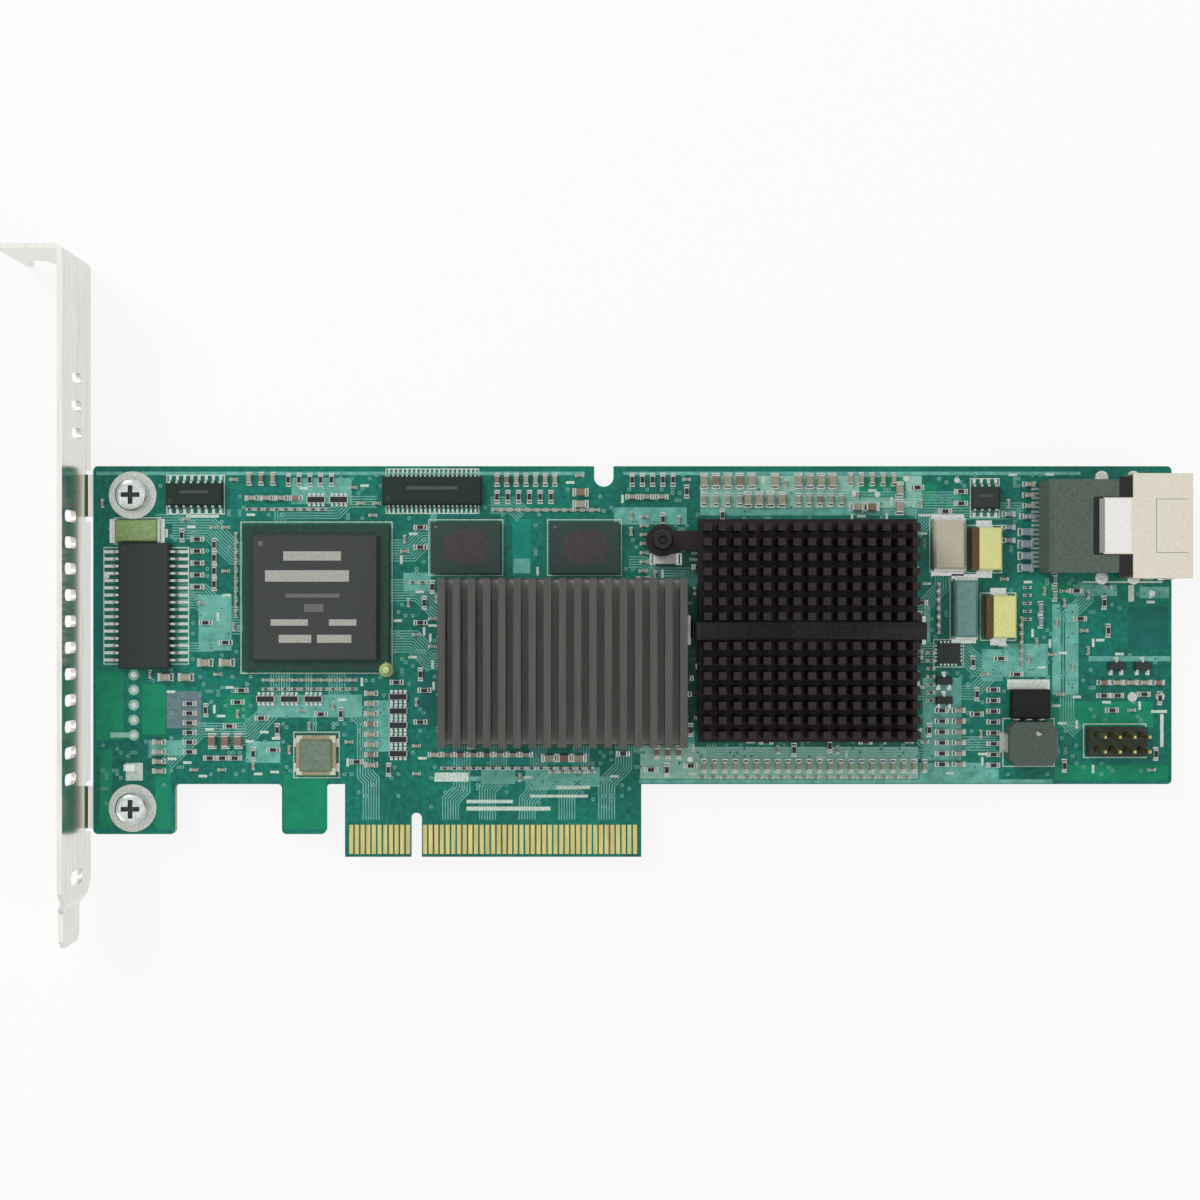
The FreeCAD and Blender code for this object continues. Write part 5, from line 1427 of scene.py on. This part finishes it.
        for radius, top, height in ((1.35, 1.3, corner_top - FACE), (1.3, 0.95, 0.3),
                                    (0.95, 0.3, 0.2)):
            bond.rod((-5.2, 33.0, start), radius, height, 0, 28, top=top)
            start += height
        bond.finish(smooth=True)


# Metal of the bracket

@dataclass
class Bracket:
    """The plated bracket and the screws that hold it."""

    head: float = 2.8
    rise: float = 0.7
    recess: float = 1.65
    arm: float = 0.42
    shank: float = 1.3
    thread_pitch: float = 0.5

    def build(self) -> None:
        """Dress the bracket, and make both screws with recess and thread."""
        dress(NICKEL, "bracket")
        piece = Piece("bracket_screws_detailed", ZINC, RECESS_SHADE, slot=Slot.ZINC, replaces=SCREWS)
        for name in SCREWS:
            low, high = box_mm(name)
            self.screw(piece, *middle_of(low, high), low.z, high.z)
        piece.finish()

    def screw(self, piece: Piece, x: float, y: float, bottom: float, top: float) -> None:
        """A pan head with a cross recess, a shank and its thread.

        Args:
            piece: the piece that takes it.
            x: the screw's axis.
            y: the screw's axis.
            bottom: z of its point.
            top: z of its head's top.
        """
        seat = FACE + 0.04
        floor = top - self.rise
        piece.rod((x, y, seat), self.head, floor - seat, 0, 48)
        # A dark disc on the recess floor: painted shade
        piece.rod((x, y, floor - 0.01), self.recess + 0.02, 0.03, 1, 32)
        piece.spin([(self.recess, 0.0), (self.head, 0.0), (self.head, 0.25),
                    (self.head - 0.25, 0.55), (self.head - 0.7, self.rise),
                    (self.recess, self.rise)],
                   (x, y, floor), 0, 48)
        reach = math.acos(self.arm / self.recess)
        for quarter in range(4):
            start = quarter * math.pi / 2 + (math.pi / 2 - reach)
            sweep = 2 * reach - math.pi / 2
            arc = [(self.recess * math.cos(start + sweep * k / 8),
                    self.recess * math.sin(start + sweep * k / 8)) for k in range(9)]
            turn = quarter * math.pi / 2 + math.pi / 4
            inner = [self.arm * math.sqrt(2) * wave(turn) for wave in (math.cos, math.sin)]
            piece.area([(x + a, y + b) for a, b in (inner, *arc)], floor, 0.64, 0)
        piece.rod((x, y, bottom + 0.3), self.shank, seat - bottom - 0.3, 0, 32)
        piece.rod((x, y, bottom), 0.9, 0.31, 0, 32, top=self.shank)
        z = bottom + 0.35
        while z < BACK - 1.9:
            piece.spin([(1.27, 0.0), (1.49, 0.2), (1.49, 0.26), (1.27, 0.46)], (x, y, z), 0, 32)
            z += self.thread_pitch


# Ball-grid chips and heat sinks

@dataclass
class Processor:
    """The ball-grid processor: printed cap, substrate and two outer rows of balls."""

    ball: float = 0.3
    pitch: float = 1.27

    def build(self) -> None:
        """Dress the package and add its print, corner mark and balls."""
        dress(MOULD_BROWN, "processor_cap")
        dress(SUBSTRATE, "processor_substrate")
        low, high = box_mm("processor_substrate")
        cap_low, cap_high = box_mm("processor_cap")
        top = cap_high.z - 0.006
        marks = Piece("processor_marks", CHIP_MARK, FAINT_MARK, GOLD, slot=Slot.MOULD)
        for *rect, finish in (
                (-23.1, 52.2, -13.0, 53.8, 0), (-26.3, 48.5, -11.6, 50.5, 0),
                (-22.7, 45.7, -13.3, 46.4, 1), (-19.5, 43.2, -16.1, 44.6, 1),
                (-25.3, 40.8, -18.8, 41.9, 0), (-15.1, 40.8, -10.3, 41.9, 0),
                (-23.9, 37.8, -18.2, 39.2, 0), (-17.2, 37.8, -11.2, 39.2, 0)):
            marks.sheet(rect, top, 0.014, finish)
        marks.rod((cap_low.x + 1.5, cap_high.y - 1.5, top), 0.45, 0.012, 1, 20)
        tint = Piece("processor_flow_tint", MOULD_TINT, slot=Slot.MOULD)
        tint.area([(-11.2, 47.4), (-8.4, 47.0), (-8.0, 53.8), (-11.4, 54.4), (-12.4, 51.6)],
                  top - 0.002, 0.006)
        tint.finish()
        x, y = high.x - 0.9, low.y + 0.9
        marks.area([(x - 0.6, y - 0.4), (x + 0.5, y - 0.4), (x + 0.5, y + 0.7)], low.z + 0.6,
                   0.02, 2)
        marks.finish()
        balls = Piece("processor_balls_round", SOLDER, slot=Slot.SOLDER,
                      replaces=("processor_solder_balls",))
        template = ball(self.ball, 10, 6, 0.88)
        reach = (high.x - low.x) / 2 - 0.9
        middle = (low + high) / 2
        steps = int(2 * reach / self.pitch)
        for i in range(steps + 1):
            for j in range(steps + 1):
                ring = min(i, j, steps - i, steps - j)
                if ring < 2:
                    x = middle.x - reach + i * 2 * reach / steps
                    y = middle.y - reach + j * 2 * reach / steps
                    balls.stamp(template, Matrix.Translation((x, y, FACE + 0.25)))
        balls.finish(smooth=True)


@dataclass
class HeatSinks:
    """Both heat sinks, with their chips, pads, clip and push pin."""

    coil: float = 1.4
    wire: float = 0.15
    turns: float = 4.0
    spring: float = 2.45
    pin_head: float = 1.85

    def build(self) -> None:
        """Dress both sinks and wind the push pin's spring."""
        dress(GREY_ANODISED, "finned_heatsink")
        dress(BLACK_ANODISED, "pin_heatsink")
        dress(SPRING_STEEL, "heatsink_clip")
        dress(TIN, "clip_anchors")
        dress(MOULD, "bridge_chip", "controller_chip")
        dress(PAD_RUBBER, "bridge_thermal_pad", "controller_thermal_pad")
        low, high = box_mm("heatsink_push_pin")
        x, y = middle_of(low, high)
        head = high.z - 1.3
        pin = Piece("push_pin_detailed", NYLON, slot=Slot.BLACK, replaces=("heatsink_push_pin",))
        pin.spin([(0.55, 0.0), (self.pin_head, 0.0), (self.pin_head, 0.9),
                  (self.pin_head - 0.3, 1.3), (0.75, 1.3), (0.55, 1.0)], (x, y, head), 0, 40)
        pin.rod((x, y, head + 0.1), 0.56, 0.7, 0, 24)
        pin.rod((x, y, BACK - 0.3), 1.0, head - BACK + 0.35, 0, 32)
        pin.rod((x, y, low.z), 0.55, BACK - 0.3 - low.z, 0, 32, top=1.35)
        pin.finish()
        spring = Piece("push_pin_spring", WIRE)
        section = bmesh.ops.create_circle(
            spring.bm, cap_ends=False, segments=8, radius=self.wire,
            matrix=Matrix.Translation((x + self.coil, y, head - self.spring))
            @ Matrix.Rotation(math.pi / 2, 4, "X"))["verts"]
        edges = list(dict.fromkeys(edge for vert in section for edge in vert.link_edges))
        steps = int(self.turns * 20)
        bmesh.ops.spin(spring.bm, geom=section + edges, cent=(x, y, 0), axis=(0, 0, 1),
                       dvec=(0, 0, self.spring / steps), angle=math.tau * self.turns, steps=steps,
                       use_merge=False, use_duplicate=False)
        bmesh.ops.holes_fill(spring.bm, edges=spring.bm.edges, sides=8)
        bmesh.ops.recalc_face_normals(spring.bm, faces=spring.bm.faces)
        spring.finish(smooth=True)


# Memory chips

@dataclass
class Memory:
    """Two memory chips: dark tops with a faint mark, thin substrate, balls below."""

    ball: float = 0.2

    def build(self) -> None:
        """Dress the chips and add marks and balls."""
        marks = Piece("memory_marks", FAINT_MARK, MEMORY_WEAR, slot=Slot.MOULD)
        balls = Piece("memory_balls", SOLDER, slot=Slot.SOLDER)
        template = ball(self.ball, 8, 5)
        for name in MEMORIES:
            dress(MOULD_MEMORY, name)
            low, high = box_mm(name)
            marks.rod((low.x + 0.9, high.y - 0.9, high.z - 0.005), 0.28, 0.012, 0, 16)
            wide, deep = high.x - low.x, high.y - low.y
            patch = [(0.2, 0.3), (0.45, 0.16), (0.78, 0.22), (0.86, 0.5), (0.76, 0.8), (0.4, 0.86),
                     (0.18, 0.66)]
            marks.area([(low.x + wide * a, low.y + deep * b) for a, b in patch], high.z - 0.006,
                       0.009, 1)
            for i in range(15):
                x = low.x + 0.7 + i * (high.x - low.x - 1.4) / 14
                for y in (low.y + 0.7, low.y + 1.5, high.y - 0.7, high.y - 1.5):
                    balls.stamp(template, Matrix.Translation((x, y, FACE + 0.17)))
        marks.finish()
        balls.finish(smooth=True)


# Connectors

@dataclass
class Receptacle:
    """The drive cable's receptacle: housing, shell, latch plate and contacts."""

    width: float = 18.05
    rear: float = 14.2
    latch: float = 5.1
    plate: float = 9.3
    seam: float = 0.12

    def build(self) -> None:
        """Dress the CAD nodes and add the latch plate, its recesses, seams and tabs."""
        dress(HOUSING, "receptacle_housing")
        dress(SHELL, "receptacle_shell")
        dress(GOLD, "receptacle_contacts")
        dress(TIN, "receptacle_solder_tails")
        low, high = box_mm("receptacle_shell")
        top = box_mm("receptacle_housing")[1].z
        x = box_mm("receptacle_solder_tails")[1].x + self.rear - self.latch
        middle = (low.y + high.y) / 2
        piece = Piece("receptacle_trim", WHITE_PLASTIC, NYLON, SHELL, PAD_RUBBER,
                      slot=Slot.SHELL)
        piece.block((x + 2.525, middle, high.z - 0.02), (4.55, self.plate, 0.05), 0, 0.02)
        piece.block((x - 0.2, middle, top - 0.02), (0.9, self.plate, high.z - top + 0.03), 3, 0.01)
        piece.block((x - 1.2, middle, top - 0.3), (0.9, 9.6, 0.32), 1)
        for side in (-1, 1):
            piece.block((x + 3.9, middle + side * 6.75, top - 0.02), (2.2, 3.4, 0.06), 1)
        for side in (-1, 1):
            piece.block((high.x - 3.6, middle + side * 4.6, high.z - 0.01), (5.4, self.seam, 0.03),
                        3)
            piece.block((high.x - 6.3, middle + side * 2.3, high.z - 0.01), (self.seam, 4.6, 0.03),
                        3)
        for side in (-1, 1):
            y = middle + side * (self.width / 2 + self.seam / 2)
            for tab in (high.x - 3.0, high.x - 6.6):
                piece.block((tab, y, FACE + 3.2), (1.6, self.seam, 2.2), 2, 0.04)
        piece.finish()


@dataclass
class Header:
    """The pin header: black base with grooves, and gold posts with tapered tips."""

    tip: float = 0.3

    def build(self) -> None:
        """Dress the base, groove it and make the posts anew."""
        dress(BLACK_PLASTIC, "pin_header_base")
        posts = islands("pin_header_posts")
        piece = Piece("header_posts_tapered", GOLD, slot=Slot.GOLD, replaces=("pin_header_posts",))
        base = Piece("header_base_grooves", BLACK_PLASTIC, slot=Slot.BLACK)
        for low, high in posts:
            x, y = middle_of(low, high)
            wide, tip = high.x - low.x, self.tip
            piece.block((x, y, low.z + tip), (wide, wide, high.z - low.z - 2 * tip))
            for z, first, last in ((high.z - tip, 1.0, 0.5), (low.z, 0.5, 1.0)):
                for vert in piece.block((x, y, z), (wide, wide, tip)):
                    scale = last if vert.co.z > z + tip / 2 else first
                    vert.co.x = x + (vert.co.x - x) * scale
                    vert.co.y = y + (vert.co.y - y) * scale
        low, high = box_mm("pin_header_base")
        for i in range(1, 4):
            x = low.x + i * (high.x - low.x) / 4
            for y in (low.y, high.y):
                base.block((x, y, low.z + 0.3), (0.5, 0.12, high.z - low.z - 0.5))
        piece.finish()
        base.finish()


# Power parts and lone parts

@dataclass
class PowerParts:
    """Inductor, regulator, capacitors, choke, fuse, oscillator and status light."""

    def build(self) -> None:
        """Dress each part and add its terminals, bands and lids."""
        dress(FERRITE, "power_inductor")
        dress(MOULD_BLACK, "regulator_body")
        dress(MOULD, "clock_buffer")
        dress(TIN, "regulator_tab", "tantalum_terminals")
        dress(TANTALUM, *TANTALUMS)
        dress(FILM, "film_capacitor")
        dress(CHOKE, "filter_choke")
        dress(FUSE, "resettable_fuse")
        dress(PACKAGE_CERAMIC, "oscillator_base")
        dress(KOVAR, "oscillator_lid")
        dress(LENS, "status_led")
        self.bands()
        self.terminals()
        self.inductor()
        self.regulator()
        self.buffer()

    def bands(self) -> None:
        """Polarity bands on the tantalum capacitors along their left sides, widened with painted
        shade, and painted shade on the left side walls.
        """
        piece = Piece("tantalum_bands_and_painted_shade", POLARITY_AND_SHADE)
        for name in TANTALUMS:
            low, high = box_mm(name)
            middle = (low.y + high.y) / 2
            # Top band: the printed polarity band, widened with painted shade of the left side
            piece.block((low.x + 0.64, middle, high.z - 0.01), (1.3, high.y - low.y + 0.02, 0.02))
            # A dark sheet on the left side wall: painted shade
            piece.block((low.x, middle, low.z + 0.4), (0.02, high.y - low.y + 0.02,
                                                      high.z - low.z - 0.39))
        piece.finish()

    def terminals(self) -> None:
        """Tinned ends and pads of the larger two-ended parts, and the oscillator's pads."""
        piece = Piece("power_terminals", TIN, SOLDER, slot=Slot.TIN)
        ends = {"film_capacitor": False, "filter_choke": False, "resettable_fuse": True}
        for name, sideways in ends.items():
            low, high = box_mm(name)
            cx, cy = middle_of(low, high)
            for side in (-1, 1):
                if sideways:
                    x = cx + side * (high.x - low.x) / 2
                    piece.block((x, cy, FACE + 0.03), (0.9, high.y - low.y + 0.04, 0.7), 0, 0.05)
                    piece.block((x + side * 0.5, cy, FACE), (1.3, high.y - low.y + 0.3, 0.05), 1)
                else:
                    y = cy + side * (high.y - low.y) / 2
                    piece.block((cx, y, FACE + 0.03),
                                (high.x - low.x + 0.04, 0.7, (high.z - low.z) * 0.7), 0, 0.05)
                    piece.block((cx, y + side * 0.5, FACE), (high.x - low.x + 0.3, 1.2, 0.05), 1)
        for name in TANTALUMS:
            low, high = box_mm(name)
            for side, y in ((-1, low.y), (1, high.y)):
                piece.block(((low.x + high.x) / 2, y + side * 0.55, FACE), (2.8, 1.6, 0.05), 1)
        low, high = box_mm("oscillator_base")
        corner = Piece("oscillator_corners", CORNER, slot=Slot.TIN)
        for x in (low.x, high.x):
            for y in (low.y + 1.3, high.y - 1.3):
                piece.block((x, y, FACE), (0.9, 1.5, 0.05), 1)
                piece.block((x, y, FACE + 0.04), (0.16, 1.1, 0.8), 0, 0.03)
                inside = math.copysign(0.55, (low.x + high.x) / 2 - x)
                outer_y = low.y + 0.65 if y < (low.y + high.y) / 2 else high.y - 0.65
                corner.block((x + inside, outer_y, high.z - 0.01), (1.0, 1.2, 0.03), 0, 0.01)
        low, high = box_mm("status_led")
        for x in (low.x - 0.1, high.x + 0.1):
            piece.block((x, (low.y + high.y) / 2, FACE), (0.8, 1.2, 0.12), 1, 0.03)
        piece.finish()
        corner.finish()

    def inductor(self) -> None:
        """The inductor's split line, terminals and light spot."""
        low, high = box_mm("power_inductor")
        cx, cy = middle_of(low, high)
        piece = Piece("inductor_trim", TIN, FERRITE, CHIP_MARK, slot=Slot.TIN)
        for side in (-1, 1):
            x = cx + side * (high.x - low.x) / 2
            piece.block((x, cy, FACE + 0.02), (0.3, 3.2, 2.4), 0, 0.05)
            piece.block((x + side * 0.4, cy, FACE), (1.2, 3.6, 0.06), 0)
        piece.ring((cx, cy, high.z - 0.02), 2.3, 2.6, 0.04, 1, 32)
        piece.rod((cx + 0.9, cy + 1.9, high.z - 0.01), 0.5, 0.03, 2, 20)
        piece.finish()

    def regulator(self) -> None:
        """The regulator's three short legs and its wide pad."""
        low, high = box_mm("regulator_body")
        piece = Piece("regulator_legs", TIN, SOLDER, slot=Slot.TIN)
        cx = (low.x + high.x) / 2
        for i in (-1, 0, 1):
            x = cx + i * 2.2
            piece.block((x, low.y - 0.1, low.z + 0.75), (0.8, 0.3, 0.2), 0)
            piece.block((x, low.y - 0.2, FACE + 0.02), (0.8, 0.14, 1.0), 0)
            piece.block((x, low.y - 0.1, FACE), (1.0, 0.6, 0.06), 1)
        tab_low, tab_high = box_mm("regulator_tab")
        piece.block((cx, tab_high.y - 0.3, FACE), (tab_high.x - tab_low.x + 0.8, 1.8, 0.05), 1)
        piece.finish()

    def buffer(self) -> None:
        """The leadless clock buffer's terminals round its lower edge."""
        low, high = box_mm("clock_buffer")
        cx, cy = middle_of(low, high)
        piece = Piece("clock_buffer_terminals", TIN, SOLDER, slot=Slot.TIN)
        for i in range(5):
            offset = (i - 2) * 0.65
            for side in (-1, 1):
                x, y = cx + side * (high.x - low.x) / 2, cy + side * (high.y - low.y) / 2
                piece.block((cx + offset, y, FACE), (0.3, 0.7, 0.06), 1)
                piece.block((x, cy + offset, FACE), (0.7, 0.3, 0.06), 1)
                piece.block((cx + offset, y, FACE + 0.05), (0.28, 0.04, 0.25))
                piece.block((x, cy + offset, FACE + 0.05), (0.04, 0.28, 0.25))
        piece.finish()


# Floor, light and camera

@dataclass
class Studio:
    """A pale floor, soft plain light and the camera straight above the card."""

    floor_z: float = -3.46
    camera_x: float = 32.33
    camera_y: float = 45.29
    camera_height: float = 340.0
    lens: float = 57.9
    fibre: float = 1.111

    def build(self) -> None:
        """Make the floor, world, lamps and camera."""
        self.floor()
        self.world()
        self.lamps()
        self.camera()
        bpy.context.scene.view_settings.view_transform = "Standard"

    def rays(self, tree: bpy.types.NodeTree, *kinds: str) -> bpy.types.NodeSocket:
        """One for rays of the named kinds, and nought for all others.

        Args:
            tree: the node tree.
            *kinds: outputs of the light path node.

        Returns:
            The socket that gives it.
        """
        path = add(tree, "ShaderNodeLightPath")
        found = path.outputs[kinds[0]]
        for kind in kinds[1:]:
            found = calc(tree, "MAXIMUM", found, path.outputs[kind])
        return found

    def floor(self) -> None:
        """A wide floor that the card rests on, white to the camera but with shadows."""
        mesh = bpy.data.meshes.new("floor")
        bm = bmesh.new()
        bmesh.ops.create_grid(bm, x_segments=1, y_segments=1, size=6.0,
                              matrix=Matrix.Translation((0, 0, self.floor_z * MM)))
        bm.to_mesh(mesh)
        bm.free()
        made = bpy.data.materials.new("matt_white_paper")
        made.use_nodes = True
        tree = made.node_tree
        tree.nodes.clear()
        coords = add(tree, "ShaderNodeTexCoord").outputs["Object"]
        fibre = add(tree, "ShaderNodeTexNoise", {"Vector": coords,
                                                 "Scale": 1 / (self.fibre * MM)})
        tone = mixed(tree, fibre.outputs[0], linear("E9EAE8"), linear("EFF0EE"))
        paper = add(tree, "ShaderNodeBsdfDiffuse", {"Color": tone})
        white = add(tree, "ShaderNodeEmission", {"Color": (1, 1, 1, 1), "Strength": 1.0})
        bright = self.rays(tree, "Is Camera Ray", "Is Transmission Ray", "Is Glossy Ray")
        share = calc(tree, "MULTIPLY", bright, 0.86)
        mix = add(tree, "ShaderNodeMixShader", {0: share, 1: paper.outputs[0],
                                                2: white.outputs[0]})
        add(tree, "ShaderNodeOutputMaterial", {"Surface": mix.outputs[0]})
        mesh.materials.append(made)
        floor = bpy.data.objects.new("floor", mesh)
        bpy.context.scene.collection.objects.link(floor)
        floor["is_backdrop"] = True

    def world(self) -> None:
        """An even white surround, full white to the camera and in metal."""
        world = bpy.data.worlds.new("studio")
        bpy.context.scene.world = world
        world.use_nodes = True
        tree = world.node_tree
        tree.nodes.clear()
        seen = self.rays(tree, "Is Camera Ray", "Is Transmission Ray")
        direct = add(tree, "ShaderNodeMapRange", {"Value": seen, "To Min": 0.5, "To Max": 1.0})
        mirrored = add(tree, "ShaderNodeMapRange", {"Value": self.rays(tree, "Is Glossy Ray"),
                                                    "To Min": 0.5, "To Max": 0.85})
        level = calc(tree, "MAXIMUM", direct.outputs[0], mirrored.outputs[0])
        plain = add(tree, "ShaderNodeBackground", {"Color": (1, 1, 1, 1), "Strength": level})
        add(tree, "ShaderNodeOutputWorld", {"Surface": plain.outputs[0]})

    def lamps(self) -> None:
        """A wide soft box overhead, a key from the upper left and a weak fill."""
        target = Vector((32.0, 40.0, 0.0)) * MM
        for name, place, size, power in (
                ("overhead_box", (0.03, 0.1, 1.1), 1.1, 1.1),
                ("key_box", (-0.7, 0.75, 0.85), 0.5, 7.6),
                ("fill_box", (0.9, -0.6, 0.6), 0.6, 2.8)):
            lamp = bpy.data.lights.new(name, "AREA")
            lamp.size = size
            lamp.energy = power
            made = bpy.data.objects.new(name, lamp)
            made.location = place
            made.rotation_euler = (target - Vector(place)).to_track_quat("-Z", "Y").to_euler()
            bpy.context.scene.collection.objects.link(made)

    def camera(self) -> None:
        """The camera of the photograph, which looks straight down."""
        lens = bpy.data.cameras.new("camera")
        lens.lens = self.lens
        lens.sensor_width = 36.0
        lens.clip_start = 0.01
        lens.clip_end = 20.0
        made = bpy.data.objects.new("camera", lens)
        made.location = (self.camera_x * MM, self.camera_y * MM, (FACE + self.camera_height) * MM)
        bpy.context.scene.collection.objects.link(made)
        bpy.context.scene.camera = made


def corners() -> list[list[float]]:
    """The shown object's lowest and highest corner as plain lists."""
    return [list(corner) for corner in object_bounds()]


def main() -> None:
    """Build every sub-assembly in order."""
    logging.basicConfig(level=logging.INFO, format="%(name)s: %(message)s")
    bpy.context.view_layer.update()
    layout = Layout.of_card()
    Studio().build()
    ChipParts(layout).build()
    Board(layout).build()
    Bracket().build()
    Processor().build()
    HeatSinks().build()
    Memory().build()
    for chip in (GullChip("flash_memory", True, 0.42, 0.15),
                 GullChip("logic_chip", False, 0.42, 0.18, ((0.0, 0.4, 5.0, 0.5),), MOULD_GREEN),
                 GullChip("bus_driver", False, 0.26, 0.13, ((0.0, 0.5, 9.0, 0.6),), MOULD_GREEN),
                 GullChip("monitor_chip", False, 0.42, 0.18, ((0.0, 0.3, 2.6, 0.5),))):
        chip.build()
    Receptacle().build()
    Header().build()
    PowerParts().build()


if __name__ == "__main__":
    main()
